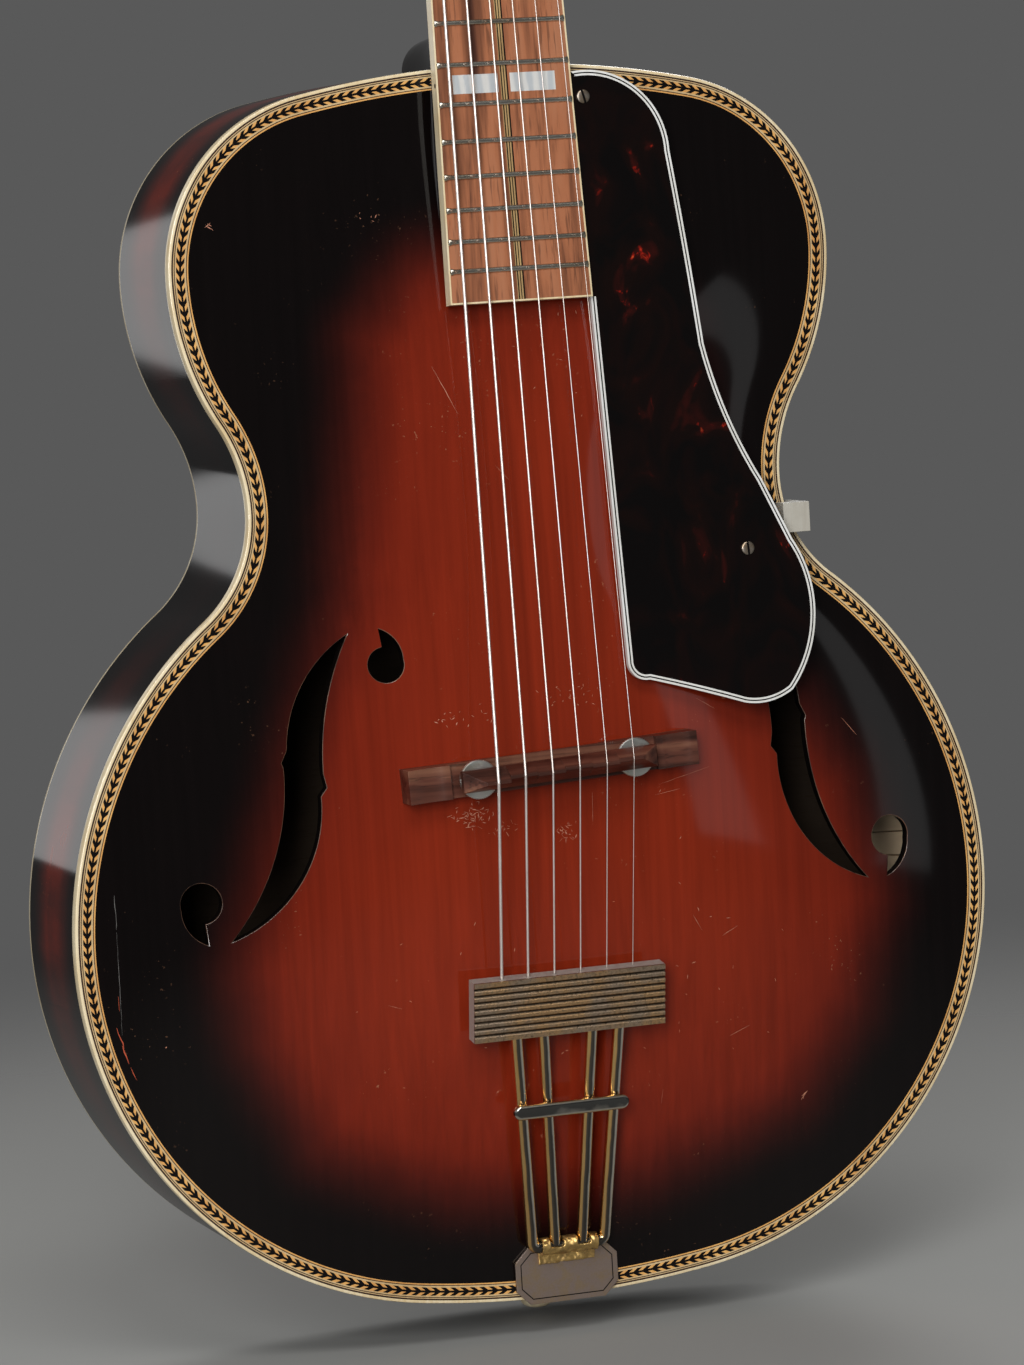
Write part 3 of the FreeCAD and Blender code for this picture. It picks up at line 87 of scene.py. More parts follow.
def stand_up(points):
    p = np.asarray(points, float).reshape(-1, 3)
    return np.column_stack([p[:, 0], -(p[:, 2] + RIM_DEPTH / 2), p[:, 1]]) * MM


def turned(points, degrees, shift, first=0):
    p = np.array(points, float).reshape(-1, 3)
    a, b = p[:, first].copy(), p[:, first + 1].copy()
    c, s = math.cos(math.radians(degrees)), math.sin(math.radians(degrees))
    p[:, first], p[:, first + 1] = a * c - b * s, a * s + b * c
    return p + np.array(shift)


def circle(count):
    return np.linspace(0, 2 * math.pi, count, endpoint=False)


def loft(rings, closed=False):
    rings = np.asarray(rings, float)
    rows, count = rings.shape[:2]
    faces = []
    for row in range(rows if closed else rows - 1):
        low, high = row * count, (row + 1) % rows * count
        faces += [(low + k, low + (k + 1) % count, high + (k + 1) % count, high + k) for k in range(count)]
    if not closed:
        faces += [tuple(range(count))[::-1], tuple(range((rows - 1) * count, rows * count))]
    return rings.reshape(-1, 3), faces


def joined(shapes):
    points, faces, start = [], [], 0
    for spots, rows in shapes:
        points.append(np.asarray(spots, float))
        faces += [tuple(start + k for k in face) for face in rows]
        start += len(spots)
    return np.concatenate(points), faces


# %% Make a piece
def linked(name, data):
    thing = bpy.data.objects.new(name, data)
    bpy.context.scene.collection.objects.link(thing)
    return thing


def shade(mesh, sharp=SHARP):
    mesh.polygons.foreach_set("use_smooth", [True] * len(mesh.polygons))
    mesh.set_sharp_from_angle(angle=math.radians(sharp))
    mesh.update()


def seat(thing, node=None, body=None):
    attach(thing, body or body_of[node])
    if node:
        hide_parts(node)
    return thing


def as_is(points):
    return points


def piece(name, shape, finishes, node=None, body=None, place=as_is, pick=None, sharp=SHARP):
    points, faces = shape
    mesh = bpy.data.meshes.new(name)
    mesh.from_pydata(stand_up(place(points)).tolist(), [], [tuple(int(k) for k in face) for face in faces])
    for material in finishes if isinstance(finishes, list) else [finishes]:
        mesh.materials.append(material)
    if pick is not None:
        mesh.polygons.foreach_set("material_index", pick)
    shell = bmesh.new()
    shell.from_mesh(mesh)
    bmesh.ops.recalc_face_normals(shell, faces=shell.faces)
    shell.to_mesh(mesh)
    shell.free()
    shade(mesh, sharp)
    thing = linked(name, mesh)
    print(name, len(mesh.vertices), "points")
    return seat(thing, node, body) if node or body else thing


# %% [markdown]
# ## The camera
# The place and lens come from fitting the outline and the frets of the photograph: a long lens, a little
# to the bass side and above the bridge, rolled so that the neck leans as it does there. The turns are the
# camera's yaw, pitch and roll from looking straight down on the bench.

# %% Set the camera
LENS, SENSOR = 135.76, 36
CAMERA_SPOT = (-679.2, 433.7, 2005.4)
CAMERA_TURNS = (("X", 90.0), ("Y", -18.51), ("X", -4.76), ("Z", -3.46))

camera_turn = Matrix.Identity(3)
for axis, degrees in CAMERA_TURNS:
    camera_turn = camera_turn @ Matrix.Rotation(math.radians(degrees), 3, axis)
camera = linked("camera", bpy.data.cameras.new("camera"))
camera.data.lens = LENS
camera.data.sensor_width = SENSOR
camera.matrix_world = Matrix.Translation(Vector(stand_up(CAMERA_SPOT)[0])) @ camera_turn.to_4x4()
bpy.context.scene.camera = camera
print("camera at", [round(value, 3) for value in camera.location])

# %% [markdown]
# ## Finishes: small tools
# A finish is a Principled shader with textures that feed its colour, roughness and normal. These helpers
# keep each finish to a few lines: add a node, mix two colours, do sums, read a ramp, and map one span of
# values to another. Colours are written as red, green and blue.


# %% Helpers for finishes
def opaque(tint):
    return (*tint, 1.0) if isinstance(tint, tuple) else (tint, tint, tint, 1.0)


def feed(tree, value, socket):
    if isinstance(value, bpy.types.NodeSocket):
        tree.links.new(value, socket)
    else:
        socket.default_value = opaque(value) if socket.type == "RGBA" else value


def add(tree, kind, inputs=None, **settings):
    made = tree.nodes.new("ShaderNode" + kind)
    for name, value in settings.items():
        setattr(made, name, value)
    for name, value in (inputs or {}).items():
        feed(tree, value, made.inputs[name])
    return made


def mix(tree, share, first, second, way="MIX"):
    return add(tree, "Mix", {0: share, 6: first, 7: second}, data_type="RGBA", blend_type=way).outputs[2]


def sums(tree, way, first, second=0.0, third=0.0):
    return add(tree, "Math", {0: first, 1: second, 2: third}, operation=way).outputs[0]


def times(tree, first, second):
    return sums(tree, "MULTIPLY", first, second)


def span(tree, value, start, end, low=0.0, high=1.0):
    return add(tree, "MapRange", {0: value, 1: low, 2: high, 3: start, 4: end}).outputs[0]


def ramp(tree, value, stops, smooth="LINEAR"):
    made = add(tree, "ValToRGB", {0: value})
    made.color_ramp.interpolation = smooth
    while len(made.color_ramp.elements) < len(stops):
        made.color_ramp.elements.new(0.5)
    for element, (place, tint) in zip(made.color_ramp.elements, stops):
        element.position = place
        element.color = opaque(tint)
    return made.outputs[0]


def mask(tree, value, low, high):
    return ramp(tree, value, [(low, 0.0), (high, 1.0)])


def here(tree):
    return add(tree, "TexCoord").outputs["Object"]


def stretched(tree, *scale):
    return add(tree, "Mapping", {"Vector": here(tree), "Scale": scale}).outputs[0]


def noise(tree, place, scale=1.0, detail=4.0, roughness=0.55, warp=0.0):
    return add(tree, "TexNoise", {"Vector": place, "Scale": scale, "Detail": detail, "Roughness": roughness,
                                  "Distortion": warp}).outputs[0]


def bumped(tree, height, strength, depth):
    return add(tree, "Bump", {"Strength": strength, "Distance": depth, "Height": height}).outputs[0]


def facing(tree, axis):
    return add(tree, "SeparateXYZ", {0: add(tree, "NewGeometry").outputs["Normal"]}).outputs[axis]


def mixed(first, second, share):
    return tuple(a + (b - a) * share for a, b in zip(first, second))


# %% Start and end a finish
def blank(name):
    material = bpy.data.materials.new(name)
    material.use_nodes = True
    return material, material.node_tree


def dressed(material, **values):
    tree = material.node_tree
    for name, value in values.items():
        feed(tree, value, tree.nodes["Principled BSDF"].inputs[name.replace("_", " ")])
    return material


def group(name, inputs, outputs):
    tree = bpy.data.node_groups.new(name, "ShaderNodeTree")
    for socket, kind, value in inputs:
        made = tree.interface.new_socket(socket, in_out="INPUT", socket_type="NodeSocket" + kind)
        made.default_value = value
    for socket in outputs:
        tree.interface.new_socket(socket, in_out="OUTPUT", socket_type="NodeSocketFloat")
    return tree, tree.nodes.new("NodeGroupInput").outputs, tree.nodes.new("NodeGroupOutput").inputs


def use(tree, group_tree, **inputs):
    made = tree.nodes.new("ShaderNodeGroup")
    made.node_tree = group_tree
    for name, value in inputs.items():
        feed(tree, value, made.inputs[name.replace("_", " ")])
    return made.outputs


# %% [markdown]
# ## Shared effects
# Three effects return in many finishes, so each is a node group built once: the lines of wood grain, the
# faint ripple of lacquer, and the specks of long playing. A group only puts out masks and values, and the
# shader stays in the finish.


# %% Groups for grain, ripple and specks
def grain_group():
    inputs = [("Stretch", "Vector", (900.0, 900.0, 9.0)), ("Pore Scale", "Float", 4.0)]
    tree, given, out = group("wood grain", inputs, ["Streaks", "Pores"])
    along = add(tree, "VectorMath", {0: here(tree), 1: given["Stretch"]}, operation="MULTIPLY").outputs[0]
    feed(tree, noise(tree, along, 0.35, 3.0, 0.6, 0.4), out["Streaks"])
    fine = noise(tree, along, given["Pore Scale"], 2.0, 0.7)
    feed(tree, mask(tree, fine, 0.56, 0.68), out["Pores"])
    return tree


def ripple_group():
    tree, given, out = group("lacquer ripple", [("Scale", "Float", 160.0)], ["Height", "Haze"])
    feed(tree, noise(tree, here(tree), given["Scale"], 2.0, 0.5), out["Height"])
    feed(tree, noise(tree, here(tree), 22.0, 5.0, 0.65), out["Haze"])
    return tree


def speck_group():
    tree, given, out = group("playing specks", [("Amount", "Float", 0.5)], ["Specks"])
    fleck = mask(tree, noise(tree, here(tree), 620.0, 2.0, 0.5), 0.69, 0.73)
    spread = mask(tree, noise(tree, here(tree), 26.0, 3.0, 0.6), 0.55, 0.72)
    feed(tree, times(tree, times(tree, fleck, spread), given["Amount"]), out["Specks"])
    return tree


WOOD_GRAIN = grain_group()
LACQUER_RIPPLE = ripple_group()
PLAYING_SPECKS = speck_group()
print("effects:", [tree.name for tree in bpy.data.node_groups])

# %% [markdown]
# ## Sunburst lacquer
# The top is spruce under a sprayed burst: black at the edge, then oxblood, then a red amber centre, all
# under clear gloss. Spraying follows the outline, so the burst is a value kept on the points of the mesh
# (made with the plates below) and the finish only turns it into colour. The rims are sprayed from their
# edges, so there the value comes from the depth. It fades at the waist, and towards the tail it darkens
# as painted shade.

# %% Lacquer for top, back and rims
BURST_STOPS = [(0.0, (0.0022, 0.0019, 0.0019)), (0.22, (0.007, 0.0024, 0.0022)),
               (0.45, (0.05, 0.0062, 0.0038)), (0.7, (0.145, 0.0125, 0.0048)),
               (1.0, (0.215, 0.0205, 0.0062))]
BARE_SPRUCE = (0.5, 0.25, 0.14)
DARK_WAIST = 325.0
SOFT_COAT_IOR = 1.32


def lacquer(name, burst, grain_stretch, grain_depth, gloss=1.0, wave=0.06, soft=0.06, lines=None):
    material, tree = blank(name)
    grain = use(tree, WOOD_GRAIN, Stretch=grain_stretch, Pore_Scale=2.2)
    ripple = use(tree, LACQUER_RIPPLE, Scale=95.0)
    worn = use(tree, PLAYING_SPECKS, Amount=0.8)["Specks"]
    value = burst(tree)
    uneven = sums(tree, "MULTIPLY_ADD", sums(tree, "SUBTRACT", ripple["Haze"], 0.5), 0.16, value)
    shades = span(tree, grain["Streaks"], 1.0 - grain_depth, 1.0 + grain_depth, 0.3, 0.7)
    tint = mix(tree, 1.0, ramp(tree, uneven, BURST_STOPS, "B_SPLINE"), shades, "MULTIPLY")
    seen = times(tree, worn, span(tree, value, 0.25, 0.6, 0.1, 0.7))
    if lines:
        height = noise(tree, stretched(tree, *lines), 1.0, 2.0, 0.5)
    else:
        height = sums(tree, "SUBTRACT", ripple["Height"], times(tree, worn, 0.6))
    return dressed(material, Coat_Roughness=soft, Coat_IOR=SOFT_COAT_IOR, Specular_IOR_Level=0.0,
                   Base_Color=mix(tree, seen, tint, BARE_SPRUCE),
                   Roughness=span(tree, ripple["Haze"], 0.22, 0.4, 0.3, 0.7),
                   Coat_Weight=sums(tree, "MULTIPLY_ADD", worn, -gloss, gloss),
                   Normal=bumped(tree, height, wave, 0.0006))


def burst_from_points(tree):
    return add(tree, "Attribute", attribute_name="burst").outputs["Fac"]


def burst_from_depth(tree):
    _, depth, height = add(tree, "SeparateXYZ", {0: here(tree)}).outputs
    edge = sums(tree, "DIVIDE", sums(tree, "ABSOLUTE", depth), RIM_DEPTH / 2 * MM)
    from_waist = sums(tree, "ABSOLUTE", sums(tree, "SUBTRACT", height, DARK_WAIST * MM))
    flame = noise(tree, stretched(tree, 46.0, 10.0, 46.0), 1.0, 3.0, 0.6, 0.6)
    value = span(tree, edge, 0.06, 0.6, 0.86, 0.25)
    value = times(tree, value, span(tree, from_waist, 0.2, 1.0, 0.03, 0.11))
    # Painted shade: the rims darken towards the tail.
    value = times(tree, value, span(tree, height, 0.3, 1.0, 0.03, 0.17))
    return times(tree, value, span(tree, flame, 0.78, 1.15, 0.3, 0.7))


top_lacquer = lacquer("sunburst spruce", burst_from_points, (700.0, 700.0, 5.0), 0.13)
back_lacquer = lacquer("sunburst back", burst_from_points, (90.0, 90.0, 9.0), 0.2)
rim_lacquer = lacquer("sunburst rims", burst_from_depth, (30.0, 200.0, 30.0), 0.12, 0.6, 0.14, 0.08,
                      (24.0, 420.0, 24.0))
print("lacquers ready")


# %% [markdown]
# ## The other finishes
# Plain words for each: black lacquer on the neck, oiled rosewood with dark streaks, ivory celluloid,
# pearl blocks, worn nickel that shows brass, rough gilt, drawn steel wire, tortoise celluloid, bare
# lining wood. Colours are written as they should look in plain light, except where painted light or shade
# is named: the brightened lining wood, the dark wood inside, and the reflections on tailpiece rods and crossbar.


# %% Wood finishes
def black_lacquer():
    material, tree = blank("black lacquer")
    ripple = use(tree, LACQUER_RIPPLE, Scale=110.0)
    specks = times(tree, use(tree, PLAYING_SPECKS, Amount=0.5)["Specks"], 0.4)
    base = mix(tree, ripple["Haze"], (0.0035, 0.0028, 0.0027), (0.007, 0.0048, 0.004))
    return dressed(material, Coat_Weight=1.0, Coat_Roughness=0.05, Coat_IOR=1.36, Specular_IOR_Level=0.0,
                   Base_Color=mix(tree, specks, base, (0.12, 0.07, 0.04)),
                   Roughness=span(tree, ripple["Haze"], 0.2, 0.42, 0.3, 0.7),
                   Normal=bumped(tree, ripple["Height"], 0.05, 0.0005))


def rosewood(name, stretch, dark, light, gloss):
    material, tree = blank(name)
    grain = use(tree, WOOD_GRAIN, Stretch=stretch, Pore_Scale=1.6)
    broad = noise(tree, stretched(tree, *(value / 9 for value in stretch)), 1.0, 2.0, 0.5, 0.8)
    streaks = sums(tree, "MULTIPLY_ADD", sums(tree, "SUBTRACT", broad, 0.5), 0.7, grain["Streaks"])
    body = ramp(tree, streaks, [(0.24, dark), (0.42, mixed(dark, light, 0.5)), (0.54, light),
                                (0.76, mixed(light, (0.42, 0.2, 0.11), 0.4))])
    pores = mixed(dark, (0.0, 0.0, 0.0), 0.4)
    return dressed(material, Specular_IOR_Level=0.3,
                   Base_Color=mix(tree, times(tree, grain["Pores"], 0.5), body, pores),
                   Roughness=span(tree, streaks, gloss, gloss + 0.18, 0.2, 0.8),
                   Normal=bumped(tree, sums(tree, "SUBTRACT", 1.0, grain["Pores"]), 0.25, 0.00012))


def lining_wood(name, dark, light):
    material, tree = blank(name)
    grain = use(tree, WOOD_GRAIN, Stretch=(60.0, 60.0, 400.0), Pore_Scale=2.0)
    return dressed(material, Specular_IOR_Level=0.2, Base_Color=mix(tree, grain["Streaks"], dark, light),
                   Roughness=span(tree, grain["Pores"], 0.7, 0.9),
                   Normal=bumped(tree, grain["Streaks"], 0.3, 0.0003))


neck_lacquer = black_lacquer()
board_wood = rosewood("fingerboard rosewood", (420.0, 420.0, 8.0), (0.06, 0.018, 0.009),
                      (0.36, 0.128, 0.056), 0.42)
bridge_wood = rosewood("bridge rosewood", (9.0, 330.0, 330.0), (0.012, 0.006, 0.005),
                       (0.1, 0.034, 0.022), 0.22)
# Painted light: the lining wood is a tan much brighter than bare wood, as if well lit inside the body.
lining_with_painted_light = lining_wood("bare lining wood with painted light", (0.72, 0.53, 0.34), (0.9, 0.7, 0.47))
# Painted shade: the wood inside the body is near black, so the back and the inner faces of rims and plates look
# dark through the sound holes.
inside_painted_shade = lining_wood("wood inside with painted shade", (0.02, 0.012, 0.007), (0.035, 0.022, 0.012))
print("woods ready")


# %% Plastic finishes
def celluloid(name, pale, aged, roughness, gloss=0.4):
    material, tree = blank(name)
    haze = noise(tree, stretched(tree, 40.0, 40.0, 40.0), 1.0, 4.0, 0.6)
    streak = noise(tree, stretched(tree, 600.0, 600.0, 30.0), 1.0, 2.0, 0.5)
    shares = sums(tree, "MULTIPLY_ADD", streak, 0.4, times(tree, haze, 0.6))
    return dressed(material, Coat_Weight=gloss, Coat_Roughness=0.08, Specular_IOR_Level=1.25 * gloss,
                   Base_Color=ramp(tree, shares, [(0.35, aged), (0.62, pale)]),
                   Roughness=span(tree, haze, roughness, roughness + 0.15))


def tortoise():
    material, tree = blank("tortoise celluloid")
    place = stretched(tree, 1.0, 1.0, 0.75)
    clouds = noise(tree, place, 46.0, 3.0, 0.5, 1.4)
    flecks = noise(tree, place, 170.0, 3.0, 0.55, 1.2)
    shown = times(tree, mask(tree, clouds, 0.64, 0.71), mask(tree, flecks, 0.56, 0.66))
    warm = ramp(tree, flecks, [(0.52, (0.08, 0.003, 0.002)), (0.66, (0.36, 0.014, 0.006)),
                               (0.78, (0.6, 0.12, 0.03))])
    base = ramp(tree, clouds, [(0.4, (0.0026, 0.002, 0.002)), (0.62, (0.006, 0.0024, 0.002)),
                               (0.74, (0.03, 0.004, 0.003))])
    return dressed(material, Coat_Weight=1.0, Coat_Roughness=0.04, Coat_IOR=SOFT_COAT_IOR,
                   Specular_IOR_Level=0.0, Base_Color=mix(tree, shown, base, warm),
                   Roughness=span(tree, clouds, 0.1, 0.22),
                   Normal=bumped(tree, noise(tree, place, 24.0, 2.0), 0.05, 0.001))


def pearl():
    material, tree = blank("pearl")
    sheen = add(tree, "TexWave", {"Vector": stretched(tree, 60.0, 60.0, 22.0), "Scale": 1.0,
                                  "Distortion": 6.0, "Detail": 3.0}).outputs[1]
    tint = ramp(tree, sheen, [(0.2, (0.46, 0.485, 0.5)), (0.55, (0.54, 0.55, 0.545)),
                              (0.85, (0.61, 0.605, 0.58))])
    return dressed(material, Coat_Weight=0.6, Coat_Roughness=0.08, Base_Color=tint,
                   Roughness=span(tree, sheen, 0.2, 0.34))


ivory = celluloid("ivory celluloid", (0.8, 0.69, 0.47), (0.66, 0.5, 0.27), 0.3)
worn_lip = celluloid("worn lip", (0.03, 0.015, 0.01), (0.2, 0.1, 0.06), 0.2)
cream_line = celluloid("cream line", (0.64, 0.47, 0.25), (0.5, 0.33, 0.15), 0.35)
stripe_wood = celluloid("stripe veneer", (0.46, 0.31, 0.13), (0.3, 0.18, 0.07), 0.4)
brown_line = celluloid("brown line", (0.05, 0.024, 0.014), (0.024, 0.011, 0.008), 0.35, 0.2)
tan_wood = celluloid("tan marquetry", (0.78, 0.43, 0.13), (0.56, 0.26, 0.07), 0.35)
# This black also paints shade and dirt in the screw slots.
black_dye_and_slot_shade = celluloid("dyed marquetry and slot shade", (0.004, 0.003, 0.003), (0.003, 0.002, 0.002), 0.3, 0.1)
white_edge = celluloid("white edging", (0.78, 0.78, 0.76), (0.66, 0.65, 0.6), 0.3)
grey_block = celluloid("clamp plastic", (0.5, 0.48, 0.42), (0.4, 0.37, 0.31), 0.45)
bone = celluloid("bone", (0.8, 0.76, 0.64), (0.66, 0.58, 0.42), 0.4)
guard_shell = tortoise()
pearl_block = pearl()
print("plastics ready")

# %% Metal finishes
TARNISH = (0.1, 0.075, 0.05)
RIDGE_DEPTH, RIDGE_TOP, SIDE_DEPTH, TAIL_TILT = 0.5, 0.12, 0.75, 9.6


def worn_metal(name, bright, under, wear, rough, scale=120.0, tarnish=0.2, grit=0.06):
    material, tree = blank(name)
    broad = noise(tree, here(tree), scale, 5.0, 0.62, 0.3)
    fine = noise(tree, here(tree), scale * 9, 3.0, 0.6)
    worn = sums(tree, "MULTIPLY_ADD", fine, 0.3, times(tree, broad, 0.85))
    bare = mask(tree, worn, 0.62 - wear * 0.25, 0.74 - wear * 0.2)
    if grit:
        dressed(material, Normal=bumped(tree, fine, grit, 0.0002))
    return dressed(material, Metallic=1.0, Roughness=span(tree, fine, rough, rough + 0.1, 0.3, 0.75),
                   Base_Color=mix(tree, times(tree, fine, tarnish), mix(tree, bare, bright, under), TARNISH))


def ribbed_metal(node, lean):
    material, tree = blank("ribbed nickel over brass")
    face = Vector((0.0, -math.cos(math.radians(lean)), -math.sin(math.radians(lean))))
    level = max(face.dot(spot.co) for spot in frame["nodes"][node].data.vertices)
    outward = add(tree, "VectorMath", {0: here(tree), 1: tuple(face)}, operation="DOT_PRODUCT")
    height = outward.outputs["Value"]
    ridge = span(tree, height, 0.0, 1.0, level - RIDGE_DEPTH * MM, level - RIDGE_TOP * MM)
    side = sums(tree, "LESS_THAN", height, level - SIDE_DEPTH * MM)
    fine = noise(tree, here(tree), 900.0, 3.0, 0.65)
    broad = mask(tree, noise(tree, here(tree), 60.0, 3.0, 0.6), 0.42, 0.6)
    brass = mix(tree, broad, (0.68, 0.42, 0.21), (0.52, 0.39, 0.28))
    rough_brass = mix(tree, mask(tree, fine, 0.45, 0.75), brass, (0.2, 0.15, 0.1))
    ribs = mix(tree, ridge, (0.085, 0.065, 0.045), rough_brass)
    polish = span(tree, fine, 0.22, 0.46, 0.3, 0.7)
    return dressed(material, Metallic=1.0, Base_Color=mix(tree, side, ribs, (0.55, 0.52, 0.47)),
                   Roughness=sums(tree, "MULTIPLY_ADD", side, 0.35, polish),
                   Normal=bumped(tree, fine, 0.3, 0.0002))


# Painted reflections: the colour follows which way the rod faces, brass-gold on the left, a dark core and silver
# at the right.
def rod_painted_reflections():
    material, tree = blank("nickel and brass with painted reflections")
    patchy = sums(tree, "MULTIPLY_ADD", noise(tree, here(tree), 70.0, 4.0, 0.6), 0.2, 0.4)
    across = sums(tree, "MULTIPLY_ADD", facing(tree, 0), 0.5, patchy)
    tint = ramp(tree, across, [(0.1, (0.95, 0.62, 0.26)), (0.24, (0.85, 0.53, 0.2)),
                               (0.33, (0.16, 0.13, 0.1)), (0.55, (0.1, 0.1, 0.095)),
                               (0.66, (0.75, 0.7, 0.62)), (0.9, (0.8, 0.66, 0.46))])
    return dressed(material, Metallic=1.0, Roughness=0.16, Base_Color=tint)


# Painted highlights and reflection: faces turned up or down are bright silver and gold, and the front is dark.
def bar_painted_edge_highlights():
    material, tree = blank("nickel with painted edge highlights")
    patchy = noise(tree, here(tree), 90.0, 4.0, 0.6)
    edge = sums(tree, "MULTIPLY_ADD", patchy, 0.3, sums(tree, "ABSOLUTE", facing(tree, 2)))
    tint = ramp(tree, edge, [(0.32, (0.12, 0.12, 0.115)), (0.5, (0.7, 0.66, 0.58)),
                             (0.95, (0.82, 0.62, 0.36))])
    return dressed(material, Metallic=1.0, Roughness=0.2, Base_Color=tint)


nickel = worn_metal("worn nickel", (0.62, 0.6, 0.56), (0.55, 0.42, 0.22), 0.05, 0.1)
rod_metal = rod_painted_reflections()
crossbar_metal = bar_painted_edge_highlights()
bar_metal = ribbed_metal("tailpiece_bar", TAIL_TILT)
plate_metal = worn_metal("dull nickel", (0.4, 0.31, 0.265), (0.42, 0.31, 0.21), 0.3, 0.42, 160.0)
gilt = worn_metal("rough gilt", (0.8, 0.53, 0.19), (0.55, 0.36, 0.14), 0.3, 0.34, 300.0, 0.15)
wheel_metal = worn_metal("pale nickel", (0.72, 0.72, 0.67), (0.6, 0.57, 0.48), 0.1, 0.3, 120.0, 0.1)
fret_metal = worn_metal("fret wire", (0.62, 0.59, 0.52), (0.5, 0.45, 0.36), 0.2, 0.2, 12.0, 0.1, 0.0)
screw_metal = worn_metal("aged screw metal", (0.46, 0.4, 0.34), (0.36, 0.27, 0.18), 0.4, 0.34, 200.0, 0.3)
gear_brass = worn_metal("machined brass", (0.6, 0.44, 0.19), (0.42, 0.29, 0.12), 0.3, 0.24, 120.0, 0.3)
string_wire = worn_metal("drawn wire", (0.86, 0.78, 0.73), (0.74, 0.63, 0.55), 0.1, 0.45, 12.0, 0.05, 0.0)
print("metals ready")

# %% [markdown]
# ## The outline
# The body's outline is a chain of tangent arcs, the same as in the construction: tail, lower corner, lower
# bout, waist, upper bout, shoulder. Sampled once with the inward direction at each point, it gives every
# strip that follows the edge, because a point at an inset is just the outline point moved inward.

# %% Trace the outline
BODY_LENGTH, LOWER_HALF_WIDTH, LOWER_Y = 510.9, 199.4, 161.7
WAIST_HALF_WIDTH, WAIST_RISE_SHARE = 115.8, 0.645
WAIST_LOWER_RADIUS, WAIST_UPPER_RADIUS = 55.0, 69.3
UPPER_HALF_WIDTH, SHOULDER_DROP = 142.6, 80.0
TAIL_RADIUS, SHOULDER_RADIUS = 444.0, 411.0
UPPER_Y = BODY_LENGTH - SHOULDER_DROP
WAIST_Y = LOWER_Y + WAIST_RISE_SHARE * (UPPER_Y - LOWER_Y)
OUTLINE_STEP = 1.4
FLIP = np.array([-1.0, 1.0])


def tangent_radius(offset, rise, waist):
    return (offset ** 2 + rise ** 2 - waist ** 2) / (2 * (waist - offset))


def bearing(start, end):
    return math.atan2(end[1] - start[1], end[0] - start[0])


def end_radius(end, half, rise):
    return (2 * end * rise - rise ** 2 - half ** 2) / (2 * (end - half))


def outline_arcs():
    corner = end_radius(TAIL_RADIUS, LOWER_HALF_WIDTH, LOWER_Y)
    shoulder = end_radius(SHOULDER_RADIUS, UPPER_HALF_WIDTH, SHOULDER_DROP)
    low_waist = (WAIST_HALF_WIDTH + WAIST_LOWER_RADIUS, WAIST_Y)
    high_waist = (WAIST_HALF_WIDTH + WAIST_UPPER_RADIUS, WAIST_Y)
    lower = tangent_radius(low_waist[0] - LOWER_HALF_WIDTH, WAIST_Y - LOWER_Y, WAIST_LOWER_RADIUS)
    upper = tangent_radius(high_waist[0] - UPPER_HALF_WIDTH, UPPER_Y - WAIST_Y, WAIST_UPPER_RADIUS)
    tail_centre, neck_centre = (0, TAIL_RADIUS), (0, BODY_LENGTH - SHOULDER_RADIUS)
    corner_centre, lower_centre = ((LOWER_HALF_WIDTH - radius, LOWER_Y) for radius in (corner, lower))
    upper_centre, shoulder_centre = ((UPPER_HALF_WIDTH - radius, UPPER_Y) for radius in (upper, shoulder))
    at_tail, at_neck = bearing(tail_centre, corner_centre), bearing(neck_centre, shoulder_centre)
    at_low, at_high = bearing(lower_centre, low_waist), bearing(upper_centre, high_waist)
    return [(tail_centre, TAIL_RADIUS, -math.pi / 2, at_tail, 1),
            (corner_centre, corner, at_tail, 0, 1),
            (lower_centre, lower, 0, at_low, 1),
            (low_waist, WAIST_LOWER_RADIUS, at_low + math.pi, math.pi, -1),
            (high_waist, WAIST_UPPER_RADIUS, math.pi, at_high + math.pi, -1),
            (upper_centre, upper, at_high, 0, 1),
            (shoulder_centre, shoulder, 0, at_neck, 1),
            (neck_centre, SHOULDER_RADIUS, at_neck, math.pi / 2, 1)]


def trace_outline():
    spots, inward = [], []
    for centre, radius, first, last, bend in outline_arcs():
        count = max(3, round(radius * abs(last - first) / OUTLINE_STEP))
        for turn in np.linspace(first, last, count, endpoint=False):
            ray = np.array([math.cos(turn), math.sin(turn)])
            spots.append(np.array(centre) + radius * ray)
            inward.append(-bend * ray)
    spots.append(np.array([0.0, BODY_LENGTH]))
    inward.append(np.array([0.0, -1.0]))
    return [np.array(half + [entry * FLIP for entry in half[-2:0:-1]]) for half in (spots, inward)]


OUTLINE, INWARD = trace_outline()
HALF = OUTLINE[: len(OUTLINE) // 2 + 1]
HALF_INWARD = INWARD[: len(HALF)]
RUN = np.concatenate([[0], np.cumsum(np.linalg.norm(np.diff(HALF, axis=0), axis=1))])
print("outline:", len(OUTLINE), "points")


def inset(depth):
    return OUTLINE + depth * INWARD


def half_width(y, depth):
    edge = HALF + depth * HALF_INWARD
    return np.interp(y, edge[:, 1], edge[:, 0])


def along_half(length, depth, side):
    x, y = (np.interp(length, RUN, HALF[:, k]) for k in (0, 1))
    across, up = (np.interp(length, RUN, HALF_INWARD[:, k]) for k in (0, 1))
    return side * (x + depth * across), y + depth * up


# %% [markdown]
# ## Strips along the edge
# Binding, purfling and rims are all one operation: a small section carried round the outline. Each point of
# the section is an inset and a height. Rows of quads join the sections, and the finish can change from
# one stretch of the section to the next, which is how the fine purfling lines are laid.


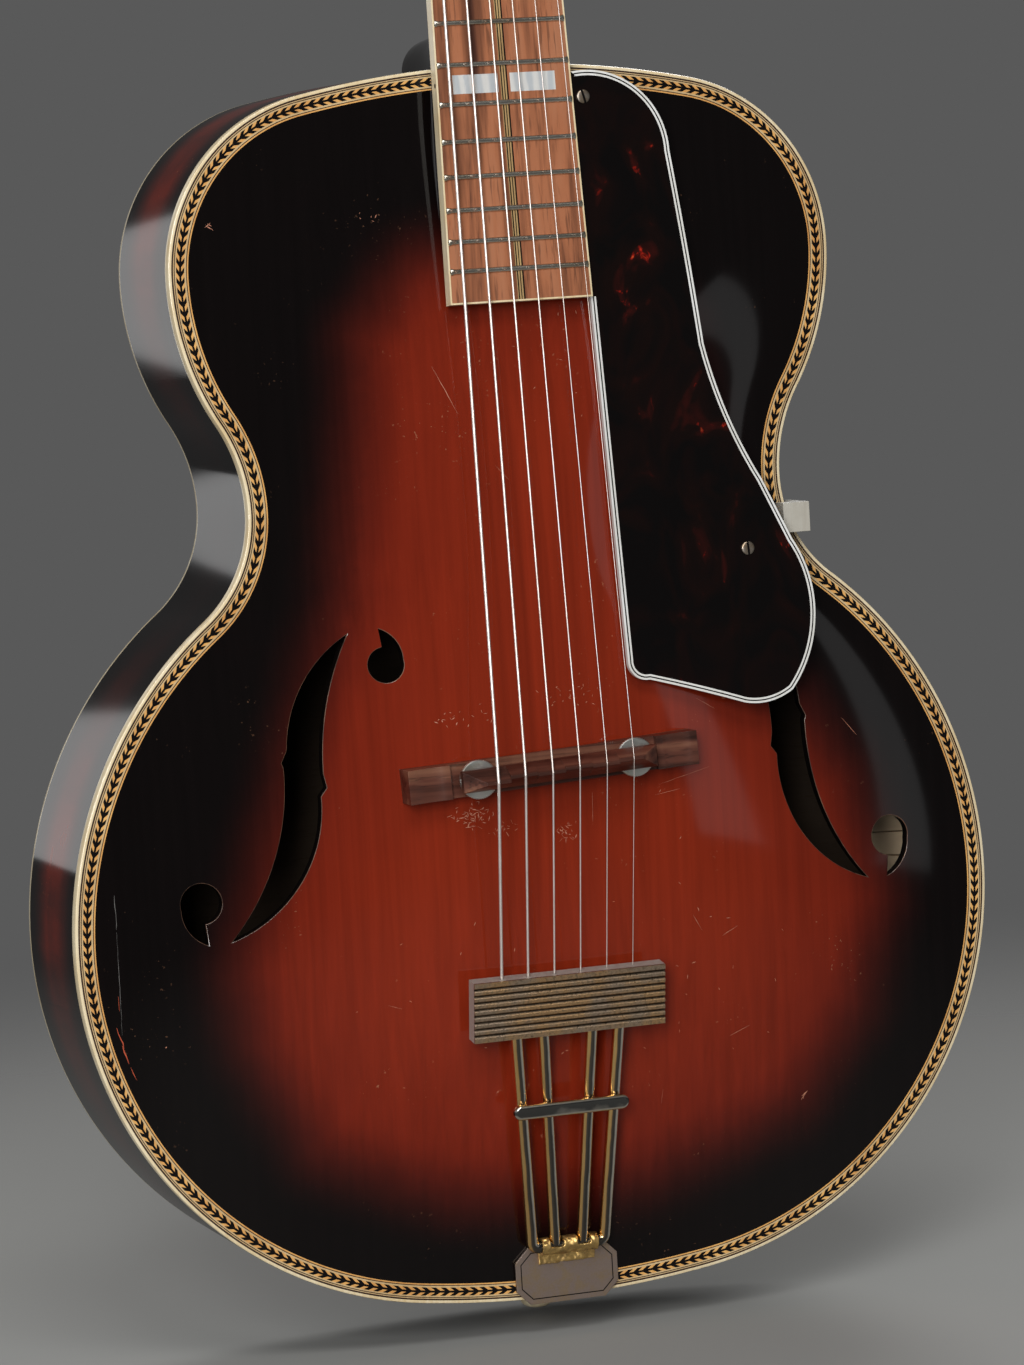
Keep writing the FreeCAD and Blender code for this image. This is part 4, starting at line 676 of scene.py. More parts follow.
# %% Sweep a section round the outline
def swept(name, section, finishes, node=None, body=None, pick=None):
    count = len(OUTLINE)
    rings = [np.column_stack([inset(depth), np.full(count, height)]) for depth, height in section]
    picks = [which for which in pick or [0] * len(section) for _ in range(count)]
    return piece(name, loft(rings, closed=True), finishes, node, body, pick=picks)


BINDING_WIDTH, BINDING_HEIGHT, BACK_BINDING_HEIGHT = 1.3, 5.0, 2.4
PURFLING_WIDTH, PURFLING_DEPTH = 7.0, 1.5
ARCH_MARGIN = BINDING_WIDTH + PURFLING_WIDTH
RIM_THICKNESS = 2.5
ROUNDED = 0.55
CORNER = ROUNDED * 0.3
FOOT = -RIM_DEPTH
TOP_LEDGE, BACK_LEDGE = -BINDING_HEIGHT, FOOT + BACK_BINDING_HEIGHT

swept("top_edge_binding", [(0, TOP_LEDGE), (0, -ROUNDED), (CORNER, -CORNER), (ROUNDED, 0), (BINDING_WIDTH, 0),
                           (BINDING_WIDTH, TOP_LEDGE)], ivory, "top_binding")
swept("back_edge_binding", [(0, BACK_LEDGE), (BINDING_WIDTH, BACK_LEDGE), (BINDING_WIDTH, FOOT),
                            (ROUNDED, FOOT), (CORNER, FOOT + CORNER), (0, FOOT + ROUNDED)],
      ivory, "back_binding")
swept("lacquered_rims", [(0, TOP_LEDGE), (0, BACK_LEDGE), (RIM_THICKNESS, BACK_LEDGE),
                         (RIM_THICKNESS, TOP_LEDGE)], [rim_lacquer, inside_painted_shade], "side_rims", pick=[0, 1, 1, 1])
swept("back_edge_flange", [(BINDING_WIDTH, FOOT), (ARCH_MARGIN, FOOT), (ARCH_MARGIN, BACK_LEDGE),
                           (BINDING_WIDTH, BACK_LEDGE)], back_lacquer, body="guitar")

# %% [markdown]
# ## The marquetry
# Inside the binding run fine lines of brown and cream veneer, then a band of black chevrons on tan wood with
# a thread of black down the middle, then three more lines. The lines are strips of the section above. The
# chevrons are small raised tiles, placed by running length so that their pitch is even, and they point from
# the neck to the tail on both sides.

# %% Lay the purfling lines and chevrons
LINE_WIDTHS = [(0.7, 1), (0.33, 0), (0.37, 1), (0.56, 0), (3.4, 2), (0.7, 0), (0.37, 1), (0.57, 2)]
BAND = 4
TILE_PITCH, TILE_SHARE, SPINE_SHARE, TILE_LEAN = 4.25, 0.52, 0.26, 2.6
TILE_LIFT, THREAD_LIFT, THREAD_WIDTH = 0.03, 0.045, 0.3

marks = np.concatenate([[0], np.cumsum([width for width, _ in LINE_WIDTHS])]) + BINDING_WIDTH
section = [(depth, 0.0) for depth in marks]
section += [(ARCH_MARGIN, -PURFLING_DEPTH), (BINDING_WIDTH, -PURFLING_DEPTH)]
swept("purfling_lines", section, [cream_line, brown_line, tan_wood], "top_purfling",
      pick=[tint for _, tint in LINE_WIDTHS] + [1, 1, 1])
BAND_ARM = LINE_WIDTHS[BAND][0] / 2
BAND_MIDDLE = marks[BAND] + BAND_ARM


def marquetry_tile(tip, hand, side):
    turn, spine = SPINE_SHARE * TILE_LEAN, SPINE_SHARE * BAND_ARM
    end, far = tip + TILE_PITCH, tip + TILE_PITCH * TILE_SHARE
    corners = [(tip, 0.0), (end, 0.0), (end + turn, spine), (far + turn, spine), (far + TILE_LEAN, BAND_ARM),
               (tip + TILE_LEAN, BAND_ARM)]
    spots = [along_half(length, BAND_MIDDLE + hand * out, side) for length, out in corners]
    return loft([[(*spot, height) for spot in spots] for height in (-TILE_LIFT, TILE_LIFT)])


tiles = [marquetry_tile(row * TILE_PITCH, hand, side)
         for side in (1, -1) for row in range(int(RUN[-1] / TILE_PITCH)) for hand in (1, -1)]
piece("marquetry_chevrons", joined(tiles), black_dye_and_slot_shade, body="guitar")
thread = [BAND_MIDDLE - THREAD_WIDTH / 2, BAND_MIDDLE + THREAD_WIDTH / 2]
swept("marquetry_thread", [(thread[0], -TILE_LIFT), (thread[0], THREAD_LIFT), (thread[1], THREAD_LIFT),
                           (thread[1], -TILE_LIFT)], black_dye_and_slot_shade, body="guitar")

# %% [markdown]
# ## The carved plates
# Top and back swell from a level margin to a crown and are level again there, which is how a carver leaves
# them. The plate is a fine net of triangles filled between the outline and the sound holes, lifted by the
# arch, so that reflections glide over it. The burst is worked out at each point from how far it lies
# inside or outside a loop drawn on the top; near the end of the board the loop also carries a painted shadow.

# %% Describe arch, sound holes and burst
TOP_ARCH, BACK_ARCH, TOP_THICKNESS, BACK_THICKNESS = 18.0, 17.0, 5.0, 4.5
SOUND_HOLE_LENGTH, SOUND_HOLE_WIDTH, SOUND_HOLE_X, SOUND_HOLE_Y = 121.5, 57.0, 78.5, 162.2
TREBLE_HOLE_OFFSET = 8.9
ARC_STEP = 1.2
BLADE_TIP_SHARES = (0.02, 1.0)
BLADE_EDGE_SHARES = (((0.36, 0.85), (0.514, 0.63)), ((0.558, 0.588),), ((0.546, 0.569),),
                     ((0.649, 0.274), (0.995, 0.003)), ((0.535, 0.147), (0.298, 0.466)), ((0.251, 0.495),),
                     ((0.27, 0.542),), ((0.219, 0.756), BLADE_TIP_SHARES))
EYES = (((-0.233, 0.886), 7.2), ((1.196, 0.144), -8.3))
EYE_TIP_SHARES = (0.25, 2.12)
EYE_EDGE_SHARES = (((-0.72, 1.32), (-1.0, 0.3)), ((-0.25, -0.93), (0.75, -0.62)),
                   ((0.98, 0.35), (0.14, 1.06)), (EYE_TIP_SHARES,))
# Under the end of the board the loop is drawn lower, so the top darkens there as a painted shadow of the board.
BURST_LOOP_WITH_BOARD_SHADOW = [(0, 46), (-50, 52), (-102, 76), (-125, 118), (-129, 150), (-113, 195), (-94, 250), (-75, 300),
              (-67, 350), (-62, 402), (-38, 428), (0, 434), (40, 420), (66, 398), (74, 350), (84, 300),
              (102, 250), (134, 205), (146, 155), (134, 110), (106, 74), (40, 51)]
BURST_FADE = [(-30.0, 0.0), (0.0, 0.5), (15.0, 0.75), (70.0, 1.0)]
BURST_SAMPLES = 400


def arch_height(x, y, rise):
    middle = BODY_LENGTH / 2
    length_share = np.clip(np.abs(y - middle) / (middle - ARCH_MARGIN), 0, 1)
    width_share = np.clip(np.abs(x) / np.maximum(half_width(y, ARCH_MARGIN), 1e-6), 0, 1)
    return rise * (1 - length_share ** 3) ** 2 * (1 - width_share ** 2) ** 2


def arc_through(start, middle, end):
    a, b, c = (complex(*spot) for spot in (start, middle, end))
    w = (c - a) / (b - a)
    centre = (b - a) * (w - abs(w) ** 2) / (2j * w.imag) + a
    first = math.atan2((a - centre).imag, (a - centre).real)
    sweep = np.angle((c - centre) / (a - centre))
    if np.sign(np.angle((b - centre) / (a - centre))) != np.sign(sweep):
        sweep -= np.sign(sweep) * 2 * math.pi
    radius = abs(a - centre)
    count = max(3, int(radius * abs(sweep) / ARC_STEP))
    return [(centre.real + radius * math.cos(first + sweep * k / count),
             centre.imag + radius * math.sin(first + sweep * k / count)) for k in range(1, count + 1)]


def traced(start, steps, spot):
    loop = [spot(start)]
    for step in steps:
        places = [spot(shares) for shares in step]
        loop += places if len(places) == 1 else arc_through(loop[-1], *places)
    return np.array(loop[:-1])


def sound_hole_loops():
    def blade(shares):
        return (SOUND_HOLE_X + SOUND_HOLE_WIDTH * shares[0], SOUND_HOLE_Y + SOUND_HOLE_LENGTH * shares[1])

    loops = [traced(BLADE_TIP_SHARES, BLADE_EDGE_SHARES, blade)]
    for centre, radius in EYES:
        def eye(shares, middle=blade(centre), reach=radius):
            return (middle[0] + reach * shares[0], middle[1] + reach * shares[1])

        loops.append(traced(EYE_TIP_SHARES, EYE_EDGE_SHARES, eye))
    return [loop + np.array([TREBLE_HOLE_OFFSET, 0.0]) for loop in loops] + [loop * FLIP for loop in loops]


def inside(spots, loop):
    x, y = spots[:, 0], spots[:, 1]
    hit = np.zeros(len(spots), bool)
    for (x0, y0), (x1, y1) in zip(loop, np.roll(loop, -1, axis=0)):
        if y0 != y1:
            crosses = (y0 > y) != (y1 > y)
            hit ^= crosses & (x < (x1 - x0) * (y - y0) / (y1 - y0) + x0)
    return hit


def burst_value(x, y):
    corners = np.array(BURST_LOOP_WITH_BOARD_SHADOW + BURST_LOOP_WITH_BOARD_SHADOW[:1], float)
    shares = np.linspace(0, len(BURST_LOOP_WITH_BOARD_SHADOW), BURST_SAMPLES)
    loop = np.column_stack([np.interp(shares, np.arange(len(corners)), corners[:, k]) for k in (0, 1)])
    near = np.min([np.hypot(x - spot[0], y - spot[1]) for spot in loop], axis=0)
    signed = np.where(inside(np.column_stack([x, y]), loop[:-1]), near, -near)
    return np.interp(signed, *zip(*BURST_FADE))


# %% Fill and lift a plate
NET_STEP, NET_CLEAR = 2.6, 0.6
ROW_SHARE = 0.866
PLATE_GAP, PLATE_SHARP = 0.02, 50
LIP_WIDTH, LIP_CLEAR, LIP_SEGMENTS, LIP_FINISH = 0.24, 4.0, 2, 3


def filled(loop, holes):
    rim = np.concatenate([loop] + holes)
    edges, start = [], 0
    for ring in [loop] + holes:
        edges += [(start + k, start + (k + 1) % len(ring)) for k in range(len(ring))]
        start += len(ring)
    near = kdtree.KDTree(len(rim))
    for k, spot in enumerate(rim):
        near.insert((*spot, 0), k)
    near.balance()
    low, high = loop.min(0), loop.max(0)
    rows = np.arange(low[1], high[1], NET_STEP * ROW_SHARE)
    net = np.array([(x + (row % 2) * NET_STEP / 2, y) for row, y in enumerate(rows)
                    for x in np.arange(low[0], high[0], NET_STEP)])
    net = net[[near.find((*spot, 0))[2] > NET_STEP * NET_CLEAR for spot in net]]
    spots = np.concatenate([rim, net[inside(net, loop)]])
    flat, _, triangles, *_ = geometry.delaunay_2d_cdt([Vector(spot) for spot in spots], edges, [], 0, 1e-5)
    flat, triangles = np.array(flat), np.array(triangles)
    centres = flat[triangles].mean(1)
    keep = inside(centres, loop)
    for hole in holes:
        keep &= ~inside(centres, hole)
    return flat, triangles[keep]


def rim_edges(triangles):
    sides = np.concatenate([triangles[:, [0, 1]], triangles[:, [1, 2]], triangles[:, [2, 0]]])
    seen = {(a, b) for a, b in sides.tolist()}
    return [(a, b) for a, b in seen if (b, a) not in seen]


def rounded_lips(plate, triangles, flat):
    border = {tuple(sorted(edge)) for edge in rim_edges(triangles)}
    weight = plate.data.attributes.new("bevel_weight_edge", "FLOAT", "EDGE")
    lips = [edge.index for edge in plate.data.edges if tuple(sorted(edge.vertices)) in border]
    middle = np.array([flat[list(plate.data.edges[k].vertices)].mean(0) for k in lips])
    for k in np.array(lips)[inside(middle, inset(ARCH_MARGIN + LIP_CLEAR))]:
        weight.data[k].value = 1.0
    lip = plate.modifiers.new("lip", "BEVEL")
    lip.limit_method = "WEIGHT"
    lip.width, lip.segments, lip.material = LIP_WIDTH * MM, LIP_SEGMENTS, LIP_FINISH


def carved_plate(name, holes, rise, thickness, flip, finishes, node):
    flat, triangles = filled(inset(ARCH_MARGIN - PLATE_GAP), holes)
    count = len(flat)
    height = arch_height(flat[:, 0], flat[:, 1], rise)
    points = np.concatenate([np.column_stack([flat, height]), np.column_stack([flat, height - thickness])])
    faces = [tuple(t) for t in triangles] + [tuple(t + count)[::-1] for t in triangles]
    faces += [(b, a, a + count, b + count) for a, b in rim_edges(triangles)]
    picks = [0] * len(triangles) + [1] * len(triangles) + [2] * (len(faces) - 2 * len(triangles))
    if flip:
        points = points * np.array([-1.0, 1.0, -1.0]) - np.array([0.0, 0.0, RIM_DEPTH])
    plate = piece(name, (points, faces), finishes, node, pick=picks, sharp=PLATE_SHARP)
    burst = plate.data.attributes.new("burst", "FLOAT", "POINT")
    burst.data.foreach_set("value", burst_value(points[:, 0], points[:, 1]).astype(np.float32))
    if holes:
        rounded_lips(plate, triangles, flat)


carved_plate("carved_top", sound_hole_loops(), TOP_ARCH, TOP_THICKNESS, False,
             [top_lacquer, inside_painted_shade, neck_lacquer, worn_lip], "top_plate")
carved_plate("carved_back", [], BACK_ARCH, BACK_THICKNESS, True, [back_lacquer, inside_painted_shade, back_lacquer],
             "back_plate")

# %% [markdown]
# ## Marks of playing
# Picks and sleeves leave scars in lacquer: a patch of nicks by the bass thumbwheel, scratches near the treble
# sound hole, chips at the edge. A bump map would lose them at this size, so each scar is a sliver of bare
# wood or broken lacquer, a few hundredths of a millimetre proud of the arch, with jagged sides from a seeded
# random draw. A scratch is given by its middle, direction, half length and width. A patch of nicks is given
# by its middle, spread, count and size.

# %% Scratch the top
SCRATCHES = [(-33, 380, 115, 11.0, 0.14), (72, 243, 150, 5.0, 0.13), (84, 249, 50, 5.0, 0.12),
             (78, 147, 25, 4.0, 0.12), (81, 104, 20, 5.0, 0.1), (63, 152, 120, 4.0, 0.1),
             (139.5, 227, 131, 5.3, 0.1), (-12, 345, 130, 4.0, 0.1), (-70, 130, 160, 3.0, 0.1),
             (45, 80, 80, 3.0, 0.1), (60, 214, 12, 12.0, 0.1), (52, 208, 8, 6.0, 0.08),
             (18, 205, 88, 6.0, 0.1)]
GREY_SCARS = [(-181.9, 179, 89, 7.0, 0.24), (-182.2, 150, 88.5, 21.0, 0.13)]
RED_CHIPS = [(-183.0, 142, 90, 3.0, 0.22), (-183.3, 128, 103, 4.5, 0.4), (-181.6, 121, 107, 4.0, 0.34),
             (-178.8, 113, 110, 3.0, 0.2)]
NICK_PATCHES = [(-34, 206, 9.0, 5.0, 60, 1.3), (-22, 200, 5.0, 2.5, 20, 1.0), (6, 196, 3.5, 5.5, 26, 1.1),
                (-34, 246, 14.0, 4.0, 22, 0.9), (14, 252, 16.0, 5.0, 24, 0.8), (-58, 453, 6.0, 3.0, 5, 0.9),
                (20, 380, 60.0, 60.0, 20, 0.8), (0, 120, 90.0, 50.0, 26, 0.8), (110, 72, 1.0, 1.0, 3, 2.2),
                (-124, 452, 0.8, 1.5, 4, 2.2), (60, 150, 40.0, 50.0, 18, 1.0)]
SCAR_LIFT, SCAR_STEP, SCAR_TAPER, SCAR_WANDER = 0.03, 0.9, 0.25, 0.5
NICK_SIZES, NICK_WIDTHS = (0.35, 1.0), (0.1, 0.28)
dice = np.random.default_rng(7)


def scar(x, y, turn, length, width):
    count = max(3, int(length / SCAR_STEP))
    along = np.linspace(-length, length, count)
    ahead = np.array([math.cos(math.radians(turn)), math.sin(math.radians(turn))])
    aside = np.array([-ahead[1], ahead[0]])
    wander = np.cumsum(dice.normal(0, width * SCAR_WANDER, count))
    taper = np.sin(np.linspace(SCAR_TAPER, math.pi - SCAR_TAPER, count))
    half = width * dice.uniform(0.3, 1.0, count) * taper
    line = np.array([x, y]) + np.outer(along, ahead) + np.outer(wander - wander.mean(), aside)
    sides = np.concatenate([line + half[:, None] * aside, (line - half[:, None] * aside)[::-1]])
    level = arch_height(sides[:, 0], sides[:, 1], TOP_ARCH)
    points = np.concatenate([np.column_stack([sides, level + lift]) for lift in (SCAR_LIFT, -SCAR_LIFT)])
    ring = 2 * count
    faces = [(k, k + 1, ring - 2 - k, ring - 1 - k) for k in range(count - 1)]
    faces += [tuple(ring + k for k in face[::-1]) for face in faces]
    faces += [(k, (k + 1) % ring, ring + (k + 1) % ring, ring + k) for k in range(ring)]
    return points, faces


def scarred(name, dark, light):
    material, tree = blank(name)
    patches = noise(tree, stretched(tree, 500.0, 500.0, 500.0))
    return dressed(material, Roughness=0.6, Base_Color=mix(tree, patches, dark, light))


bare_wood = scarred("bare scratched wood", (0.3, 0.075, 0.035), (0.55, 0.27, 0.17))
grey_scar = scarred("dented lacquer", (0.02, 0.018, 0.017), (0.2, 0.19, 0.18))
red_chip = scarred("chipped lacquer", (0.25, 0.02, 0.008), (0.6, 0.1, 0.03))
scars = [scar(*entry) for entry in SCRATCHES]
for x, y, wide, tall, count, size in NICK_PATCHES:
    for _ in range(count):
        scars.append(scar(x + dice.normal(0, wide / 2), y + dice.normal(0, tall / 2), dice.uniform(0, 180),
                          size * dice.uniform(*NICK_SIZES), dice.uniform(*NICK_WIDTHS)))
piece("playing_marks", joined(scars), bare_wood, body="guitar")
for name, rows, tint in (("edge_scars", GREY_SCARS, grey_scar), ("edge_chips", RED_CHIPS, red_chip)):
    piece(name, joined([scar(*entry) for entry in rows]), tint, body="guitar")

# %% [markdown]
# ## Softened copies
# Many pieces have their true shape already and only lack what a file or a polishing wheel gives. Such a piece
# is a copy of its CAD mesh, welded, with its flat faces joined, so that a Bevel modifier finds the real
# edges and nothing else.

# %% Copy nodes and soften their edges
FLAT, WELD, BEVEL_SEGMENTS = 0.4, 1e-6, 3


def softened(node, material, bevel):
    source = frame["nodes"][node].data
    mesh = bpy.data.meshes.new(node + "_softened")
    faces = [tuple(face.vertices) for face in source.polygons]
    mesh.from_pydata([spot.co[:] for spot in source.vertices], [], faces)
    shell = bmesh.new()
    shell.from_mesh(mesh)
    bmesh.ops.remove_doubles(shell, verts=shell.verts, dist=WELD)
    bmesh.ops.dissolve_limit(shell, angle_limit=math.radians(FLAT), verts=shell.verts, edges=shell.edges)
    shell.to_mesh(mesh)
    shell.free()
    mesh.materials.append(material)
    shade(mesh)
    thing = linked(mesh.name, mesh)
    if bevel:
        edge = thing.modifiers.new("softened edges", "BEVEL")
        edge.width, edge.segments = bevel * MM, BEVEL_SEGMENTS
        edge.limit_method, edge.angle_limit = "ANGLE", math.radians(SHARP)
        edge.harden_normals = True
    print(thing.name, len(mesh.vertices), "points")
    return seat(thing, node)


SOFTENED = [
    ("bridge_base", bridge_wood, 0.5), ("bridge_saddle", bridge_wood, 0.3), ("tailpiece_bar", bar_metal, 0.3),
    ("tailpiece_rods", rod_metal, 0.0), ("tailpiece_crossbar", crossbar_metal, 1.7),
    ("hinge_sleeve", gilt, 0.0), ("tailpiece_hanger", plate_metal, 0.2), ("pickguard", guard_shell, 0.0),
    ("pickguard_clamp", grey_block, 0.7), ("pickguard_bracket", nickel, 0.2),
    ("pickguard_spacer", grey_block, 0.2), ("ball_ends", gear_brass, 0.3), ("fingerboard", board_wood, 0.0),
    ("fingerboard_binding", ivory, 0.0), ("position_inlays", pearl_block, 0.0), ("nut", bone, 0.35),
    ("neck", neck_lacquer, 0.5), ("headstock_veneer", neck_lacquer, 0.3), ("tuner_plates", nickel, 0.2),
    ("post_bushings", nickel, 0.25),
]
for number in range(1, 7):
    SOFTENED += [("worm_shaft_%d" % number, nickel, 0.15), ("tuner_button_%d" % number, ivory, 1.6),
                 ("string_post_%d" % number, gear_brass, 0.2)]
soft_pieces = {entry[0]: softened(*entry) for entry in SOFTENED}

# %% Rough casting of the hinge sleeve, stouter rods and crossbar
LUMP_VOXEL, LUMP_SIZE, LUMP_HEIGHT, LUMP_LEVEL = 0.35, 4.2, 1.7, 0.62
PLATING = {"tailpiece_rods": 0.35, "tailpiece_crossbar": 0.2}
skin = soft_pieces["hinge_sleeve"].modifiers.new("even skin", "REMESH")
skin.mode = "VOXEL"
skin.voxel_size = LUMP_VOXEL * MM
skin.use_smooth_shade = True
clouds = bpy.data.textures.new("casting lumps", "CLOUDS")
clouds.noise_scale = LUMP_SIZE * MM
lumps = soft_pieces["hinge_sleeve"].modifiers.new("lumps", "DISPLACE")
lumps.texture = clouds
lumps.strength, lumps.mid_level = LUMP_HEIGHT * MM, LUMP_LEVEL
for node, swell in PLATING.items():
    stout = soft_pieces[node].modifiers.new("plating", "DISPLACE")
    stout.strength, stout.mid_level = swell * MM, 0.0
print("sleeve roughened, rods plated")

# %% [markdown]
# ## Neck frame, frets and the centre stripe
# Neck and headstock lean back, so their pieces are drawn in their own frames and turned onto the bench. A
# fret is a half round bar with filed ends. The stripe down the board is six lines of pale and dark veneer,
# and round dots on the edge binding mark the positions for the player.

# %% Lay frets, stripe and side dots
SCALE_LENGTH, JOINT_FRET, FRET_COUNT = 641.35, 14, 20
JOINT_TO_NUT = SCALE_LENGTH * (1 - 2 ** (-JOINT_FRET / 12))
NECK_ANGLE, BOARD_HEIGHT, BOARD_THICKNESS, BOARD_OVERHANG = 4.1, 12.3, 6.0, 97.0
BOARD_HALF_AT_NUT, BOARD_HALF_AT_END, NUT_LENGTH = 22.3, 30.6, 5.0
HEAD_ANGLE, VENEER_THICKNESS = 14.0, 1.5
FRET_WIDTH, FRET_CROWN, FRET_INSET, FRET_POINTS = 2.3, 1.1, 0.5, 11
FRET_END = [(0.0, 0.7, 0.45), (0.25, 1.25, 0.8), (0.9, 1.3, 1.0), (1.8, 1.0, 1.0), (3.0, 0.95, 1.0)]
STRIPE_LINES = [(0.35, 0), (0.5, 1), (0.65, 0), (0.4, 1), (0.65, 0), (0.65, 1)]
STRIPE_START, STRIPE_FLOOR, STRIPE_LIFT = 0.7 - BOARD_OVERHANG, -1.0, 0.015
INLAY_FRETS = (3, 5, 7, 9, 12, 15)
DOT_RADIUS, DOT_LEVEL, DOT_SIDES, DOT_LIFT, DOT_DEPTH = 1.0, -1.9, 16, 0.04, 0.2


def on_neck(points):
    return turned(points, -NECK_ANGLE, (0, BODY_LENGTH, BOARD_HEIGHT), 1)


def on_head(points):
    return on_neck(turned(points, -HEAD_ANGLE, (0, JOINT_TO_NUT + NUT_LENGTH, -BOARD_THICKNESS), 1))


def board_half_width(y):
    share = (JOINT_TO_NUT - y) / (BOARD_OVERHANG + JOINT_TO_NUT)
    return BOARD_HALF_AT_NUT + share * (BOARD_HALF_AT_END - BOARD_HALF_AT_NUT)


def fret_y(number):
    return JOINT_TO_NUT - SCALE_LENGTH * (1 - 2 ** (-number / 12))


def fret(number):
    y, reach = fret_y(number), board_half_width(fret_y(number)) - FRET_INSET
    far_end = [(2 * reach - back, wide, high) for back, wide, high in FRET_END[::-1]]
    stations = FRET_END + [(reach, 1, 1)] + far_end
    return loft([[(back - reach, y + FRET_WIDTH / 2 * wide * math.cos(t), FRET_CROWN * high * math.sin(t))
                  for t in np.linspace(0, math.pi, FRET_POINTS)] for back, wide, high in stations])


def slab(x0, x1, y0, y1, z0, z1):
    return loft([[(x0, y, z0), (x1, y, z0), (x1, y, z1), (x0, y, z1)] for y in (y0, y1)])


def side_dot(number):
    y = (fret_y(number) + fret_y(number - 1)) / 2
    x = -board_half_width(y)
    return loft([[(x + out, y + DOT_RADIUS * math.cos(t), DOT_LEVEL + DOT_RADIUS * math.sin(t))
                  for t in circle(DOT_SIDES)] for out in (-DOT_LIFT, DOT_DEPTH)])


frets = joined([fret(number) for number in range(1, FRET_COUNT + 1)])
piece("crowned_frets", frets, fret_metal, "frets", place=on_neck)
edges = np.cumsum([0] + [width for width, _ in STRIPE_LINES])
edges = edges - edges[-1] / 2
for tint, name, material in ((0, "stripe_pale_lines", stripe_wood), (1, "stripe_dark_lines", black_dye_and_slot_shade)):
    lines = [slab(edges[k], edges[k + 1], STRIPE_START, JOINT_TO_NUT, STRIPE_FLOOR, STRIPE_LIFT)
             for k, (_, which) in enumerate(STRIPE_LINES) if which == tint]
    piece(name, joined(lines), material, "fingerboard_stripe", place=on_neck)
dots = joined([side_dot(number) for number in INLAY_FRETS])
piece("side_dots", dots, black_dye_and_slot_shade, body="guitar", place=on_neck)

# %% [markdown]
# ## Strings
# Six strings run from the tailpiece over the saddle and the nut to their posts. The saddle can rise and the
# tailpiece can swing, so each string is split there: the sounding length, the short length behind the saddle
# and the length to the tailpiece are laid in place in the frame, the length over the headstock rides on the
# guitar, and the turns on a post ride on that post.

# %% Work out the string routes
STRING_RADII, WOUND_COUNT, STRING_CLEARANCE = (0.66, 0.533, 0.406, 0.305, 0.203, 0.152), 4, 0.2
NUT_SPREAD, SADDLE_SPREAD, TAIL_SPREAD = 38.0, 59.0, 57.0
BRIDGE_Y, BRIDGE_SLANT, SADDLE_TOP, SADDLE_DEPTH = 223.5, 2.7, 39.2, 9.0
RIDGE_SHARES = (-0.15, 0.03, -0.03, 0.06, 0.0, 0.08)
HINGE_Y, HINGE_LEVEL, BAR_END, BAR_WALL = 23.0, 6.08, 117.9, 1.3
NUT_SLOT_FLOOR = 1.3
POST_X, POST_RADIUS, POST_ROWS, STRING_RISE_ON_POST = 21.0, 3.0, (40.0, 80.0, 120.0), 6.0
ROUTE_STOPS, TUBE_UP = 13, (0.3, 0.2, 0.93)


def on_bridge(points):
    return turned(points, BRIDGE_SLANT, (0, BRIDGE_Y, 0))


def on_tailpiece(points):
    return turned(points, TAIL_TILT, (0, HINGE_Y, HINGE_LEVEL), 1)


def spread(width, number):
    return width * (number / (len(STRING_RADII) - 1) - 0.5)


def post_place(number):
    return (-1, POST_ROWS[number]) if number < 3 else (1, POST_ROWS[5 - number])


def string_route(number):
    lift = STRING_CLEARANCE + STRING_RADII[number]
    side, post_y = post_place(number)
    tail = on_tailpiece((spread(TAIL_SPREAD, number), BAR_END - BAR_WALL - STRING_CLEARANCE, 0))[0]
    ridge = RIDGE_SHARES[number] * SADDLE_DEPTH
    saddle = on_bridge((spread(SADDLE_SPREAD, number), ridge, SADDLE_TOP + lift))[0]
    nut = on_neck((spread(NUT_SPREAD, number), JOINT_TO_NUT + NUT_LENGTH / 2, NUT_SLOT_FLOOR + lift))[0]
    post = on_head((side * (POST_X - POST_RADIUS - lift), post_y, VENEER_THICKNESS + STRING_RISE_ON_POST))[0]
    return {"tail": tail, "half": (tail + saddle) / 2, "saddle": saddle, "nut": nut, "post": post}


def tube(path, radius, sides=10):
    path = np.asarray(path, float)
    ahead = np.gradient(path, axis=0)
    ahead /= np.linalg.norm(ahead, axis=1)[:, None]
    side = np.cross(ahead[0], TUBE_UP)
    rings = []
    for spot, way in zip(path, ahead):
        side = side - way * side.dot(way)
        side /= np.linalg.norm(side)
        up = np.cross(way, side)
        rings.append([spot + radius * (math.cos(t) * side + math.sin(t) * up) for t in circle(sides)])
    return loft(rings)


# %% Draw the strings and their windings
WINDING_TURNS, WINDING_POINTS, WINDING_SIDES, WINDING_DROP = 3.3, 64, 8, 2.15


def strings(name, numbers, first, last, bodies, node=None):
    routes = [string_route(number) for number in numbers]
    shares = np.linspace(0, 1, ROUTE_STOPS)[:, None]
    shape = joined([tube(route[first] + shares * (route[last] - route[first]), STRING_RADII[number])
                    for number, route in zip(numbers, routes)])
    if len(bodies) == 1:
        thing = piece(name, shape, string_wire, body=bodies[0])
    else:
        thing = piece(name, shape, string_wire)
        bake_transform(thing)
    if node:
        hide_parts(node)


for kind, numbers in (("wound", range(WOUND_COUNT)), ("plain", range(WOUND_COUNT, len(STRING_RADII)))):
    strings(kind + "_sounding_lengths", numbers, "nut", "saddle", ("guitar", "saddle"), kind + "_strings")
    strings(kind + "_behind_saddle", numbers, "half", "saddle", ("guitar", "saddle"))
    strings(kind + "_to_tailpiece", numbers, "half", "tail", ("guitar", "tailpiece"))
    strings(kind + "_over_headstock", numbers, "nut", "post", ("guitar",))

